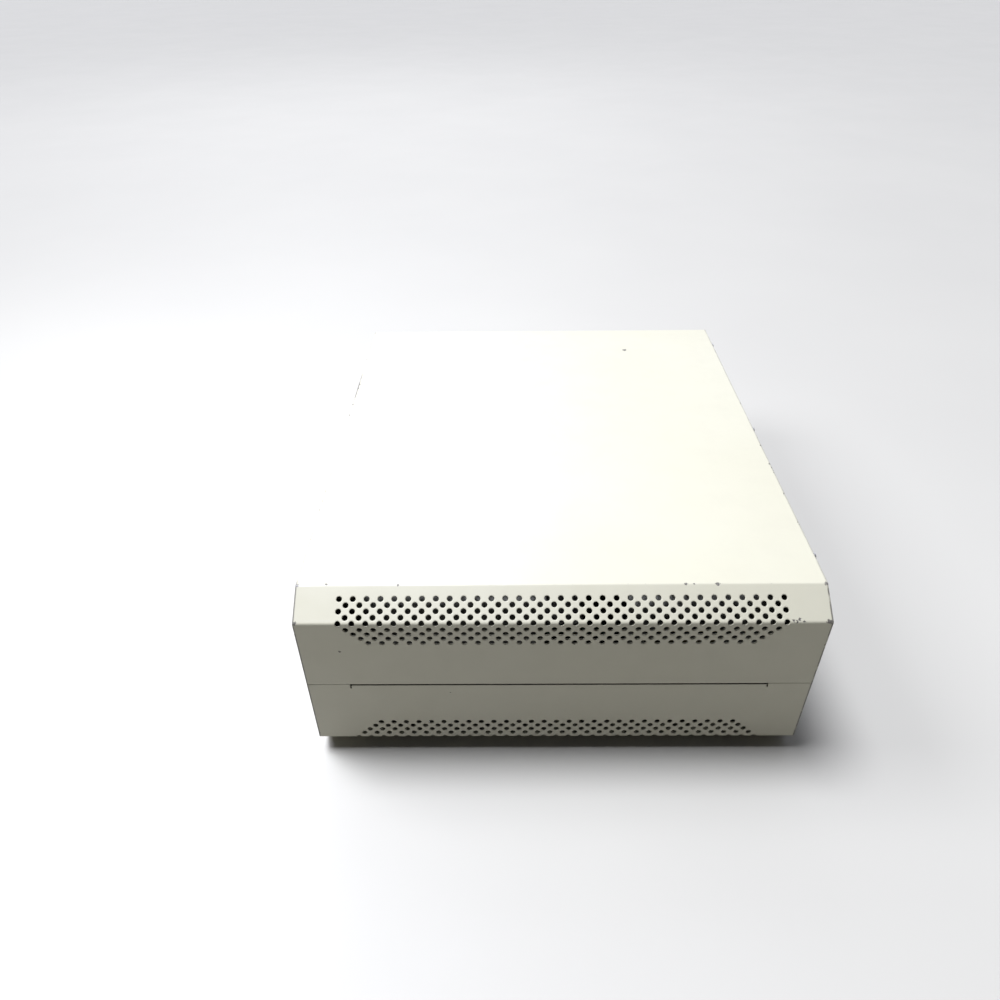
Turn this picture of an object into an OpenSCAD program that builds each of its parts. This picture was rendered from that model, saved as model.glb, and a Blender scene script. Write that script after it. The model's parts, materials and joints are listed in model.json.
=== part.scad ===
// Desktop computer tower lying on its side panel.
// X runs from the front (-X) to the rear (+X), -Y is the perforated top of the tower in use,
// Z is the width of the tower, with the side panel that opens facing +Z.
// The origin is the middle of the side panel that it lies on.

/* [Case] */
// Length of the case from front to rear
case_x = 385; // [380:1:400]
// Height of the tower in use, which lies along Y here
case_y = 476; // [476:1:490]
// Width of the tower in use, which stands along Z here
case_z = 162; // [162:1:166]
// Width in Y of each sloping edge of the covers
slope_y = 24; // [22:1:24]
// Height in Z of each sloping edge of the covers
slope_z = 15.7; // [14:0.1:16]
// Thickness of the cover sheet
sheet = 1.2; // [1:0.1:1.2]
// Inner radius of the bends in the covers
bend_r = 1.2; // [0.8:0.1:1.5]
// Gap between the two covers along the seam
seam_gap = 0.3; // [0.2:0.1:0.5]

/* [Vents] */
// Distance between neighbouring vent holes in a row
vent_pitch = 10; // [9.5:0.1:10]
// Distance between neighbouring rows of vent holes
vent_row = 4.56; // [4.4:0.01:4.6]
// Diameter of a vent hole
vent_d = 4.2; // [3:0.1:4.2]
// Number of vent holes in the longest rows
vent_count = 33; // [21:2:33]
// Number of vent rows on each side of the row on the bend
vent_side_rows = 4; // [2:2:4]

/* [Seam] */
// Distance of each relief notch from the middle of the case
notch_x = 159; // [150:1:165]
// Width of a relief notch
notch_w = 1; // [0.8:0.1:1.5]
// Depth of a relief notch
notch_depth = 4.5; // [3:0.1:6]
// Depth of the flange folded in along the seam
seam_flange = 9; // [6:1:9]

/* [Controls] */
// Travel of the power and reset buttons
button_travel = 2.5; // [1.5:0.1:2.5]
// Diameter of the power button
power_d = 14; // [12:1:18]
// Diameter of the reset button
reset_d = 7; // [6:1:8]

/* [Fans] */
// Size of the case fan and the supply fan
fan_size = 80; // [80:1:80]
// Size of the processor fan
cpu_fan_size = 60; // [60:1:60]
// Number of blades on each fan
fan_blades = 7; // [5:1:9]

/* [Hidden] */

$fn = 48;
eps = 0.01;
front_x = -case_x / 2;
rear_x = case_x / 2;
slope_angle = atan(slope_z / slope_y);
bend_outer = bend_r + sheet;
bend_steps = 3;
seam_z = case_z / 2;

// Colours
paint = [0.93, 0.91, 0.84];
zinc = [0.72, 0.74, 0.75];
dark_steel = [0.45, 0.46, 0.48];
bezel_plastic = [0.86, 0.83, 0.74];
black_plastic = [0.08, 0.08, 0.09];
dark_plastic = [0.15, 0.15, 0.17];
board_green = [0.08, 0.32, 0.18];
metal = [0.78, 0.78, 0.80];

// Points of an arc about a centre, from one angle to another
function arc(centre, r, from, to) =
    [for (i = [0 : bend_steps])
        centre + r * [cos(from + (to - from) * i / bend_steps), sin(from + (to - from) * i / bend_steps)]];

// One side of a cover's section, measured from the case's mid-plane, with bends of radius r
side_bend = [case_y / 2 - bend_outer, case_z - slope_z - bend_outer * tan(45 - slope_angle / 2)];
top_bend = [case_y / 2 - slope_y - bend_outer * tan(slope_angle / 2), case_z - bend_outer];
function half_section(r) =
    concat(arc(side_bend, r, 0, 90 - slope_angle), arc(top_bend, r, 90 - slope_angle, 90));
function reversed(points) = [for (i = [len(points) - 1 : -1 : 0]) points[i]];
function mirrored(points) = [for (p = points) [-p[0], p[1]]];
function wall_y(r) = case_y / 2 - bend_outer + r;
function arch(r, foot) =
    concat([[wall_y(r), foot]], half_section(r), reversed(mirrored(half_section(r))), [[-wall_y(r), foot]]);

// The section inside both covers, set in by a distance from their outer faces
function section(inset) =
    let (y1 = case_y / 2 - inset,
         y0 = case_y / 2 - slope_y - inset * tan(slope_angle / 2),
         z1 = slope_z + inset * tan(45 - slope_angle / 2))
    [[-y0, inset], [y0, inset], [y1, z1], [y1, case_z - z1],
     [y0, case_z - inset], [-y0, case_z - inset], [-y1, case_z - z1], [-y1, z1]];

// Extrudes a Y-Z outline along X, starting at x
module along_x(x, length)
    translate([x, 0, 0]) rotate([90, 0, 90]) linear_extrude(length) children();

// A box given by its lowest and highest corners
module block(low, high)
    translate(low) cube(high - low);

// A box from x0 to x1 whose middle is at y and z
module span_x(x0, x1, y, z, half_y, half_z)
    block([x0, y - half_y, z - half_z], [x1, y + half_y, z + half_z]);

// A cylinder whose axis runs along X, starting at a point
module rod_x(start, r, length)
    translate(start) rotate([0, 90, 0]) cylinder(r = r, h = length);

// A cylinder whose axis runs along Y, starting at a point
module rod_y(start, r, length)
    translate(start) rotate([-90, 0, 0]) cylinder(r = r, h = length);

// Repeats a shape on the other side of the mid-plane across Y
module both_sides_y()
    for (m = [0, 1])
        mirror([0, m, 0]) children();

// Flips what stands on the lower face so that it hangs from the upper face
module flip_z()
    translate([0, 0, case_z]) mirror([0, 0, 1]) children();

// ---------- covers ----------

vent_drill = 12;
slope_row_shift = 0.2;
wall_row_shift = 1.1;

// Number of holes in the row at a distance of n rows from the bend
function slope_holes(n) = vent_count - n % 2;
function wall_holes(n) = vent_count - n;

// A row of drills along X, at the origin, pointing along Z
module vent_drills(count)
    for (i = [0 : count - 1])
        translate([(i - (count - 1) / 2) * vent_pitch, 0, -vent_drill / 2])
            cylinder(d = vent_d, h = vent_drill, $fn = 24);

// All vent drills for the bend at -Y of the upper cover
module vent_field()
    translate([0, -case_y / 2, case_z - slope_z]) {
        rotate([(90 + slope_angle) / 2, 0, 0])
            translate([0, 0, -vent_drill / 4]) vent_drills(vent_count);
        for (n = [1 : vent_side_rows]) {
            rotate([slope_angle, 0, 0])
                translate([0, n * vent_row + slope_row_shift, 0]) vent_drills(slope_holes(n));
            translate([0, 0, -n * vent_row - wall_row_shift])
                rotate([90, 0, 0]) vent_drills(wall_holes(n));
        }
    }

// The bent sheet of the upper cover, with its foot at a height
module cover_sheet(foot)
    difference() {
        along_x(front_x, case_x)
            polygon(concat(arch(bend_outer, foot), reversed(arch(bend_r, foot))));
        both_sides_y() vent_field();
    }

flange_h = 9.5;
flange_half_y = 205;
cover_screw_y = [-180, 0, 180];
cover_screw_z = 4.8;
screw_r = 1.5;
screw_hole_r = 1.6;

// The rear edge of a cover, folded in over the rear panel
module rear_flange()
    difference() {
        block([rear_x - sheet, -flange_half_y, case_z - flange_h],
              [rear_x, flange_half_y, case_z - sheet / 2]);
        for (y = cover_screw_y)
            rod_x([rear_x - 2 * sheet, y, case_z - cover_screw_z], screw_hole_r, 3 * sheet);
    }

module upper_cover()
    color(paint) {
        cover_sheet(seam_z + seam_gap / 2);
        rear_flange();
    }

seam_drop = 1.1;

module lower_cover()
    color(paint)
        difference() {
            union() {
                flip_z() cover_sheet(seam_z + seam_gap / 2);
                flip_z() rear_flange();
                both_sides_y()
                    block([-notch_x, case_y / 2 - seam_flange, seam_z - seam_gap / 2 - seam_drop - sheet],
                          [notch_x, case_y / 2 - sheet / 2, seam_z - seam_gap / 2 - seam_drop]);
            }
            for (side = [-1, 1]) {
                translate([0, side * (case_y / 2 - sheet / 2), seam_z - seam_gap / 2 - seam_drop + sheet])
                    cube([2 * notch_x, 2 * sheet, 2 * sheet], center = true);
                for (end = [-1, 1])
                    translate([end * notch_x, side * case_y / 2, seam_z - seam_gap / 2])
                        cube([notch_w, 2 * seam_flange + 1, 2 * notch_depth], center = true);
            }
        }

// ---------- feet and cover screws ----------

foot_x = 150;
foot_from_seam = 31;
foot_d = 24;
foot_h = 6;

// Two round rubber feet on one cover, with a rounded edge and a hollow in the middle
module feet(z)
    for (end = [-1, 1])
        translate([end * foot_x, case_y / 2, z])
            rotate([-90, 0, 0])
                difference() {
                    union() {
                        cylinder(d = foot_d, h = foot_h - 2);
                        cylinder(d = foot_d - 3, h = foot_h);
                    }
                    translate([0, 0, foot_h - 2]) cylinder(d = foot_d / 2, h = foot_h);
                }

module lower_cover_feet() color(black_plastic) feet(seam_z - foot_from_seam);
module upper_cover_feet() color(black_plastic) feet(seam_z + foot_from_seam);

screw_head_r = 3.5;
screw_head_h = 2.2;
cover_screw_length = 2.6;
supply_screw_length = 1.9;

// A pan-head screw driven in the -X direction, its head's underside at x
module screw_x(x, y, z, length) {
    rod_x([x - length, y, z], screw_r, length + eps);
    difference() {
        rod_x([x, y, z], screw_head_r, screw_head_h);
        for (turn = [0, 90])
            translate([x + screw_head_h, y, z]) rotate([turn, 0, 0]) cube([1.6, 0.9, 4.4], center = true);
    }
}

module lower_cover_screws()
    color(metal) for (y = cover_screw_y) screw_x(rear_x, y, cover_screw_z, cover_screw_length);
module upper_cover_screws()
    color(metal) for (y = cover_screw_y) screw_x(rear_x, y, case_z - cover_screw_z, cover_screw_length);

// ---------- steel frame ----------

panel_t = 1;
panel_inset = 2.2;
rear_panel_x = rear_x - 2.7;
front_panel_x = front_x + 11.5;
frame_x0 = front_panel_x + panel_t;
frame_x1 = rear_panel_x;

// Power supply, at the top rear corner in use
supply_low = [frame_x1 - 140, -217, 6];
supply_high = [frame_x1, -131, 156];
supply_mid_y = (supply_low[1] + supply_high[1]) / 2;
supply_screw_y = [supply_low[1] + 6, supply_high[1] - 6];
supply_screw_z = [13.4, 147];
supply_fan_z = 54;

// Case fan, below the supply in use
case_fan_y = -78;
case_fan_z = 108;
fan_hole_pitch = fan_size - 8.5;

// Drive bays: 5.25 inch and 3.5 inch
bay_w = 146;
bay_pitch = 43;
optical_y = -194.7;
spare_y = optical_y + bay_pitch;
bay_mid_z = 81;
disk_w = 101.6;
disk_h = 25.4;
disk_mid_z = 105;
floppy_y = -111;
hard_drive_y = -74;

// Motherboard
tray_z = 7.5;
tray_t = 1.2;
tray_low_y = -129;
tray_high_y = 214;
standoff_h = 6.5;
board_t = 1.6;
board_z = tray_z + tray_t + standoff_h;
board_top = board_z + board_t;
board_x = 244;
board_y = 305;
board_x1 = frame_x1 - 3;
board_x0 = board_x1 - board_x;
board_y0 = -124;
slot_pitch = 20.32;
slot_count = 7;
slot_y0 = 52;
function slot_y(i) = slot_y0 + i * slot_pitch;
slot_w = 12.7;
slot_z0 = 12;
slot_z1 = 118;
shield_low = [-121, board_top - 2.5];
shield_size = [158.75, 44.45];

// Standard mounting holes of the board, from its rear corner on the supply side
board_holes = [for (x = [10.16, 163, 227.2]) for (y = [6.35, 163.83, 288.29]) [board_x1 - x, board_y0 + y]];

ledge_x = frame_x1 - 13;
ledge_z = slot_z1 + 6;
ledge_y0 = slot_y0 - slot_pitch / 2 - 3;
ledge_y1 = slot_y0 + (slot_count - 0.5) * slot_pitch + 3;

// Shelf inside the rear panel that the card brackets are screwed to
module bracket_ledge() {
    block([ledge_x, ledge_y0, ledge_z - panel_t], [frame_x1 - 1.6, ledge_y1, ledge_z]);
    for (y = [ledge_y0, ledge_y1 - panel_t])
        block([ledge_x, y, ledge_z - 12], [frame_x1 + eps, y + panel_t, ledge_z]);
}

module rear_panel()
    color(zinc)
        difference() {
            union() {
                along_x(rear_panel_x, panel_t) polygon(section(panel_inset));
                bracket_ledge();
            }
            // opening behind the supply, for its fan, inlet and switch
            block([rear_panel_x - 1, supply_low[1] + 12, 10], [rear_x, supply_high[1] - 12, 152]);
            block([rear_panel_x - 1, shield_low[0], shield_low[1]],
                  [rear_x, shield_low[0] + shield_size[0], shield_low[1] + shield_size[1]]);
            for (i = [0 : slot_count - 1])
                block([rear_panel_x - 1, slot_y(i) - slot_w / 2, slot_z0],
                      [rear_x, slot_y(i) + slot_w / 2, slot_z1]);
            rear_fan_grille();
            for (i = [0 : slot_count - 1])
                translate([bracket_screw_x, slot_y(i), ledge_z - 3]) cylinder(r = screw_r, h = 4);
            for (y = cover_screw_y)
                for (z = [cover_screw_z, case_z - cover_screw_z])
                    rod_x([rear_panel_x - 1, y, z], screw_hole_r, 3);
            for (y = supply_screw_y)
                for (z = supply_screw_z)
                    rod_x([rear_panel_x - 1, y, z], screw_hole_r, 3);
        }

grille_rings = [12, 19, 26, 33];
grille_slot = 4.6;

// Concentric ring slots and screw holes in front of the case fan
module rear_fan_grille()
    translate([rear_panel_x - 1, case_fan_y, case_fan_z]) rotate([90, 0, 90]) {
        difference() {
            for (r = grille_rings)
                difference() {
                    cylinder(r = r + grille_slot / 2, h = 3);
                    translate([0, 0, -1]) cylinder(r = r - grille_slot / 2, h = 5);
                }
            for (turn = [45, 135])
                rotate([0, 0, turn]) cube([fan_size, 5, 10], center = true);
        }
        for (sx = [-1, 1])
            for (sy = [-1, 1])
                translate([sx * fan_hole_pitch / 2, sy * fan_hole_pitch / 2, -1]) cylinder(r = 2.1, h = 5);
    }

power_y = -18;
reset_y = 6;
power_light_y = 22;
disk_light_y = 32;
control_z = 105;
intake_slot_y = [for (i = [0 : 9]) 74 + i * 13];

// The steel panel behind the bezel
module front_panel()
    color(zinc)
        difference() {
            along_x(front_panel_x, panel_t) polygon(section(panel_inset));
            span_x(front_panel_x - 1, frame_x0 + 1, (optical_y + spare_y) / 2, bay_mid_z,
                   bay_pitch / 2 + 21.2, 73.5);
            span_x(front_panel_x - 1, frame_x0 + 1, floppy_y, disk_mid_z, 13, 51.2);
            for (y = [power_y, reset_y])
                rod_x([front_panel_x - 1, y, control_z], 3.2, 3);
            for (y = [power_light_y, disk_light_y])
                rod_x([front_panel_x - 1, y, control_z], 2.6, 3);
            for (y = intake_slot_y)
                for (z = [24 : 12 : 138])
                    rod_x([front_panel_x - 1, y, z], 4, 3);
        }

rail_y = case_y / 2 - 3.2;
rail_web = 14;
rail_z0 = 56;
rail_z1 = seam_z - seam_gap / 2 - seam_drop - sheet - 0.5;

// Two channel-shaped rails that tie the front and rear panels together behind the seams
module side_rails()
    color(zinc)
        both_sides_y() {
            block([frame_x0, rail_y - panel_t, rail_z0], [frame_x1, rail_y, rail_z1]);
            for (z = [rail_z0, rail_z1 - panel_t])
                block([frame_x0, rail_y - rail_web, z], [frame_x1, rail_y - eps, z + panel_t]);
        }

// The tray that carries the motherboard, with folded edges and stamped holes
module board_tray()
    color(zinc)
        difference() {
            union() {
                block([frame_x0, tray_low_y, tray_z], [frame_x1, tray_high_y, tray_z + tray_t]);
                for (y = [tray_low_y, tray_high_y - tray_t])
                    block([frame_x0, y, tray_z - 4], [frame_x1 - 10, y + tray_t, tray_z + tray_t]);
            }
            for (hole = board_holes)
                translate([hole[0], hole[1], tray_z - 1]) cylinder(r = 1.5, h = 4);
        }

cage_t = 1;
cage_x1 = -24;

// Frame of the two 5.25 inch bays
module drive_bay_cage()
    color(zinc)
        difference() {
            union() {
                for (z = [bay_mid_z - bay_w / 2 - cage_t, bay_mid_z + bay_w / 2])
                    block([frame_x0, optical_y - 22.3, z], [cage_x1, spare_y + 21.5, z + cage_t]);
                block([frame_x0, spare_y + 20.7, bay_mid_z - bay_w / 2 - cage_t],
                      [cage_x1, spare_y + 21.7, bay_mid_z + bay_w / 2 + cage_t]);
            }
            for (y = [optical_y, spare_y])
                for (x = [-135, -90])
                    for (dy = [-12, 0])
                        translate([x, y + dy, -1]) cylinder(r = 2, h = case_z + 2);
        }

// Frame of the two 3.5 inch bays
module disk_cage()
    color(zinc)
        difference() {
            union() {
                for (z = [disk_mid_z - disk_w / 2 - cage_t, disk_mid_z + disk_w / 2])
                    block([frame_x0, floppy_y - 15, z], [-36, hard_drive_y + 34, z + cage_t]);
                block([frame_x0, hard_drive_y + 33.5, disk_mid_z - disk_w / 2 - cage_t],
                      [-36, hard_drive_y + 34.5, disk_mid_z + disk_w / 2 + cage_t]);
            }
            for (y = [floppy_y, hard_drive_y])
                for (x = disk_screw_x)
                    translate([x, y, disk_mid_z - disk_w]) cylinder(r = screw_hole_r, h = 2 * disk_w);
        }

disk_screw_x = [-150, -80];

// ---------- front bezel and controls ----------

bezel_x = front_x + 2;
bezel_t = 3;
bezel_back = front_panel_x;
bezel_inset = 1.8;
face_gap = 0.25;

module bezel_bay_opening(y, h, mid_z, w)
    span_x(bezel_x - 1, bezel_back + 1, y, mid_z, h / 2 + face_gap, w / 2 + face_gap);

bay_face_h = 41.2;
bay_face_w = 148;
button_gap = 0.35;

module front_bezel()
    color(bezel_plastic)
        difference() {
            along_x(bezel_x, bezel_back - bezel_x) polygon(section(bezel_inset));
            difference() {
                along_x(bezel_x + bezel_t, bezel_back - bezel_x) polygon(section(bezel_inset + 2.2));
                // collars behind the buttons keep them straight
                rod_x([bezel_x, power_y, control_z], power_d / 2 + 2, 5.2);
                rod_x([bezel_x, reset_y, control_z], reset_d / 2 + 2, 5.2);
            }
            bezel_bay_opening(optical_y, bay_face_h, bay_mid_z, bay_face_w);
            bezel_bay_opening(spare_y, bay_face_h, bay_mid_z, bay_face_w);
            bezel_bay_opening(floppy_y, disk_h, disk_mid_z, disk_w);
            rod_x([bezel_x - 1, power_y, control_z], power_d / 2 + button_gap, 20);
            rod_x([bezel_x - 1, reset_y, control_z], reset_d / 2 + button_gap, 20);
            for (y = [power_light_y, disk_light_y])
                rod_x([bezel_x - 1, y, control_z], 2.1, 20);
            for (y = intake_slot_y)
                block([bezel_x - 1, y - 2.2, 26], [bezel_back, y + 2.2, 136]);
            // shadow line across the bezel below the drives
            block([bezel_x - 1, -50.8, -1], [bezel_x + 0.8, -49.4, case_z + 1]);
            block([bezel_x - 1, 57.4, -1], [bezel_x + 0.8, 58.8, case_z + 1]);
        }

// A blank cover for the unused 5.25 inch bay, with two sprung clips behind it
module bay_cover()
    color(bezel_plastic) {
        difference() {
            span_x(bezel_x, bezel_x + bezel_t, spare_y, bay_mid_z, bay_face_h / 2, bay_face_w / 2);
            span_x(bezel_x - 1, bezel_x + 0.6, spare_y, bay_mid_z, bay_face_h / 2 - 3, bay_face_w / 2 - 3);
        }
        for (end = [-1, 1])
            translate([bezel_x + bezel_t + 4 - eps, spare_y, bay_mid_z + end * (bay_face_w / 2 - 2)])
                cube([8, 16, 1.6], center = true);
    }

// A round button with a dished cap, retaining flange and stem, pressed in the +X direction
module round_button(y, d)
    translate([bezel_x - 0.8, y, control_z]) rotate([0, 90, 0]) rotate_extrude()
        polygon([[0, 0.5], [d / 2 - 2, 0.5], [d / 2 - 1.2, 0], [d / 2 - 0.4, 0], [d / 2, 0.4],
                 [d / 2, 6.2], [d / 2 + 1.4, 6.2], [d / 2 + 1.4, 7.2], [2.5, 7.2], [2.5, 13], [0, 13]]);

module power_button() color(bezel_plastic) round_button(power_y, power_d);
module reset_button() color(bezel_plastic) round_button(reset_y, reset_d);

// A small lens that fills its hole in the bezel
module light_lens(y) {
    rod_x([bezel_x - 0.3, y, control_z], 2, 8);
    rod_x([bezel_x + bezel_t + 0.1, y, control_z], 2.5, 1);
}

module front_lights()
    color([0.3, 0.75, 0.35]) for (y = [power_light_y, disk_light_y]) light_lens(y);

switch_x = bezel_x + 6 + 6.2 + button_travel + 0.3;

// Carrier behind the front panel with the two switches and the sockets of the lights
module switch_block()
    color(black_plastic)
        difference() {
            union() {
                block([frame_x0, power_y - 12, control_z - 9], [frame_x0 + 10, disk_light_y + 8, control_z + 9]);
                for (y = [power_y, reset_y])
                    span_x(frame_x0 + 10 - eps, frame_x0 + 15, y, control_z, 6, 6);
            }
            for (y = [power_y, reset_y])
                rod_x([frame_x0 - 1, y, control_z], 3.5, switch_x - frame_x0 + 1);
            for (y = [power_light_y, disk_light_y])
                rod_x([frame_x0 - 1, y, control_z], 2.6, 5);
        }

// ---------- fans ----------

fan_wall = 1.5;
fan_tip_gap = 1.2;
fan_pin_r = 1.5;
fan_bore_r = 1.56;
fan_floor = 2.5;

// A square fan frame: tunnel, corner holes, and a stator cup on four struts, with its axis along Z
module fan_frame(size, depth, hub_r) {
    tunnel_r = size / 2 - fan_wall;
    hole = (size - size * 0.107) / 2;
    difference() {
        translate([-size / 2, -size / 2, 0]) cube([size, size, depth]);
        translate([0, 0, -1]) cylinder(r = tunnel_r, h = depth + 2, $fn = 96);
        for (sx = [-1, 1])
            for (sy = [-1, 1]) {
                translate([sx * hole, sy * hole, -1]) cylinder(r = 2.1, h = depth + 2);
                translate([sx * (size / 2 + 2), sy * (size / 2 + 2), 4]) rotate([0, 0, 45])
                    translate([-size * 0.13, -size * 0.13, 0]) cube([size * 0.26, size * 0.26, depth - 8]);
            }
    }
    difference() {
        union() {
            cylinder(r = hub_r, h = fan_floor);
            cylinder(r = 4, h = depth * 0.45);
            for (turn = [0 : 90 : 270])
                rotate([0, 0, turn])
                    translate([hub_r - 1, -1.5, 0]) cube([tunnel_r - hub_r + 1.4, 3, fan_floor]);
        }
        translate([0, 0, 1]) cylinder(r = fan_bore_r, h = depth);
    }
}

// The fan's rotor: a cup with tilted blades and a pin that runs in the stator's bore
module fan_rotor(size, depth, hub_r) {
    tip_r = size / 2 - fan_wall - fan_tip_gap;
    low = fan_floor + 0.6;
    high = depth - 1.5;
    difference() {
        translate([0, 0, low]) cylinder(r = hub_r, h = high - low);
        translate([0, 0, low - 1]) cylinder(r = 4.6, h = depth * 0.45 - low + 1.6);
    }
    translate([0, 0, 1.4]) cylinder(r = fan_pin_r, h = high - 1.5);
    intersection() {
        difference() {
            translate([0, 0, low]) cylinder(r = tip_r, h = high - low, $fn = 96);
            translate([0, 0, low - 1]) cylinder(r = hub_r - 0.5, h = depth);
        }
        for (i = [0 : fan_blades - 1])
            rotate([0, 0, i * 360 / fan_blades])
                translate([hub_r - 1, 0, (low + high) / 2])
                    rotate([42, 0, 0]) translate([0, -size * 0.17, -0.8]) cube([size, size * 0.34, 1.6]);
    }
}

fan_depth = 25;
hub_r = 18;
cpu_fan_depth = 15;
cpu_hub_r = 13;

// Places a fan with its axis along X, its stator side at the rear
module place_fan_x(x1, y, z)
    translate([x1, y, z]) rotate([0, -90, 0]) children();

module case_fan_frame()
    color(black_plastic)
        place_fan_x(frame_x1, case_fan_y, case_fan_z) fan_frame(fan_size, fan_depth, hub_r);
module case_fan_rotor()
    color(dark_plastic)
        place_fan_x(frame_x1, case_fan_y, case_fan_z) fan_rotor(fan_size, fan_depth, hub_r);

// ---------- drives ----------

face_back = bezel_x + 4.5;
optical_x1 = -10;
optical_half_y = 20.6;
stem_r = 1.4;
stem_hole_r = 1.8;
drive_wall = 1.2;
disc_tray_y = optical_y - 6;
disc_tray_w = 128;
disc_tray_t = 6;
disc_tray_x0 = face_back - 0.1;
disc_tray_x1 = -42;
disc_mid_x = -112;
laser_half = 19;
tray_front_h = 13;
tray_front_w = 131;
eject_z = bay_mid_z + 52;
eject_y = optical_y + 12;
optical_key = [3, 7];
floppy_key = [2.5, 6];
key_gap = 0.3;
key_back = face_back - 1.7;

module optical_case()
    color(metal)
        difference() {
            span_x(face_back, optical_x1, optical_y, bay_mid_z, optical_half_y, bay_w / 2);
            span_x(face_back + 8, optical_x1 - drive_wall, optical_y, bay_mid_z,
                   optical_half_y - drive_wall, bay_w / 2 - drive_wall);
            span_x(face_back - 1, face_back + 9, disc_tray_y, bay_mid_z,
                   disc_tray_t / 2 + 0.5, disc_tray_w / 2 + 0.5);
            rod_x([face_back - 1, eject_y, eject_z], stem_hole_r, 12);
        }

module optical_face()
    color(bezel_plastic)
        difference() {
            span_x(bezel_x, face_back, optical_y, bay_mid_z, bay_face_h / 2, bay_face_w / 2);
            span_x(bezel_x - 1, face_back + 1, disc_tray_y, bay_mid_z,
                   tray_front_h / 2 + 0.4, tray_front_w / 2 + 0.4);
            span_x(bezel_x - 1, face_back + 1, eject_y, eject_z,
                   optical_key[0] + key_gap, optical_key[1] + key_gap);
            // holes for the light and the emergency release
            rod_x([bezel_x - 1, eject_y, bay_mid_z - 56], 1.8, 10);
            rod_x([bezel_x - 1, eject_y, bay_mid_z + 30], 1.2, 10);
        }

// The tray that carries the disc, with its round well facing the top of the tower
module optical_tray()
    color(black_plastic)
        difference() {
            span_x(disc_tray_x0, disc_tray_x1, disc_tray_y, bay_mid_z, disc_tray_t / 2, disc_tray_w / 2);
            // wells for a large and a small disc, and the opening for the spindle and the laser
            rod_y([disc_mid_x, disc_tray_y - disc_tray_t / 2 - 1, bay_mid_z], 61, 3, $fn = 96);
            rod_y([disc_mid_x, disc_tray_y - disc_tray_t / 2 - 1, bay_mid_z], 41, 4, $fn = 96);
            rod_y([disc_mid_x, disc_tray_y - disc_tray_t, bay_mid_z], laser_half, 2 * disc_tray_t);
            span_x(disc_mid_x, disc_tray_x1 - 8, disc_tray_y, bay_mid_z, disc_tray_t, laser_half);
        }

module tray_front()
    color(bezel_plastic)
        difference() {
            span_x(bezel_x - 0.6, disc_tray_x0, disc_tray_y, bay_mid_z, tray_front_h / 2, tray_front_w / 2);
            // shadow line along the edge that is gripped
            span_x(bezel_x - 1, bezel_x, disc_tray_y + tray_front_h / 2 - 2.1, bay_mid_z,
                   0.5, tray_front_w / 2 - 6);
        }

// A push key with a stem, pressed in the +X direction
module push_key(y, z, half) {
    span_x(bezel_x - 0.7, key_back, y, z, half[0], half[1]);
    rod_x([key_back - eps, y, z], stem_r, 5.5);
}

module optical_eject_button() color(bezel_plastic) push_key(eject_y, eject_z, optical_key);

floppy_x1 = -41;
floppy_eject_y = floppy_y + 6.5;
floppy_eject_z = disk_mid_z - 38;
floppy_slot_h = 5;
floppy_slot_w = 94;
floppy_slot_y = floppy_y - 3;

module floppy_case()
    color(metal)
        difference() {
            span_x(face_back, floppy_x1, floppy_y, disk_mid_z, disk_h / 2, disk_w / 2);
            span_x(face_back + 6, floppy_x1 - drive_wall, floppy_y, disk_mid_z,
                   disk_h / 2 - drive_wall, disk_w / 2 - drive_wall);
            span_x(face_back - 1, face_back + 7, floppy_slot_y, disk_mid_z, floppy_slot_h / 2, floppy_slot_w / 2);
            rod_x([face_back - 1, floppy_eject_y, floppy_eject_z], stem_hole_r, 9);
            for (x = disk_screw_x)
                translate([x, floppy_y, disk_mid_z - disk_w]) cylinder(r = screw_r, h = 2 * disk_w);
        }

module floppy_face()
    color(bezel_plastic)
        difference() {
            span_x(bezel_x, face_back, floppy_y, disk_mid_z, disk_h / 2, disk_w / 2);
            span_x(bezel_x - 1, face_back + 1, floppy_slot_y, disk_mid_z, floppy_slot_h / 2, floppy_slot_w / 2);
            // finger dip in the middle of the slot
            rod_x([bezel_x - 1, floppy_slot_y, disk_mid_z], 8.5, 2);
            span_x(bezel_x - 1, face_back + 1, floppy_eject_y, floppy_eject_z,
                   floppy_key[0] + key_gap, floppy_key[1] + key_gap);
            rod_x([bezel_x - 1, floppy_y + 7, disk_mid_z + 34], 1.3, 10);
        }

module floppy_eject_button() color(bezel_plastic) push_key(floppy_eject_y, floppy_eject_z, floppy_key);

disk_x0 = -179;
disk_x1 = -33;
disk_board_t = 2;

module hard_drive()
    color(metal)
        difference() {
            union() {
                block([disk_x0, hard_drive_y - disk_h / 2 + 1.2, disk_mid_z - disk_w / 2],
                      [disk_x1, hard_drive_y + disk_h / 2 - disk_board_t, disk_mid_z + disk_w / 2]);
                block([disk_x0 + 5, hard_drive_y - disk_h / 2, disk_mid_z - disk_w / 2 + 5],
                      [disk_x1 - 8, hard_drive_y, disk_mid_z + disk_w / 2 - 5]);
            }
            for (x = disk_screw_x)
                for (end = [-1, 1])
                    translate([x, hard_drive_y, disk_mid_z + end * disk_w / 2])
                        cylinder(r = screw_r, h = 6.5, center = true);
            // spindle cap recess and pressed outline on the lid
            rod_y([-125, hard_drive_y - disk_h / 2 - 1, disk_mid_z], 15, 1.4);
            rod_y([-62, hard_drive_y - disk_h / 2 - 1, disk_mid_z + 26], 8, 1.4);
        }

module hard_drive_board()
    color(board_green) {
        block([disk_x0 + 4, hard_drive_y + disk_h / 2 - disk_board_t, disk_mid_z - disk_w / 2 + 4],
              [disk_x1, hard_drive_y + disk_h / 2 - 0.4, disk_mid_z + disk_w / 2 - 4]);
        for (x = [-150, -110, -70])
            block([x, hard_drive_y + disk_h / 2 - 0.5, disk_mid_z - 20],
                  [x + 22, hard_drive_y + disk_h / 2 + 1, disk_mid_z + 2]);
    }

// ---------- motherboard ----------

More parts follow.
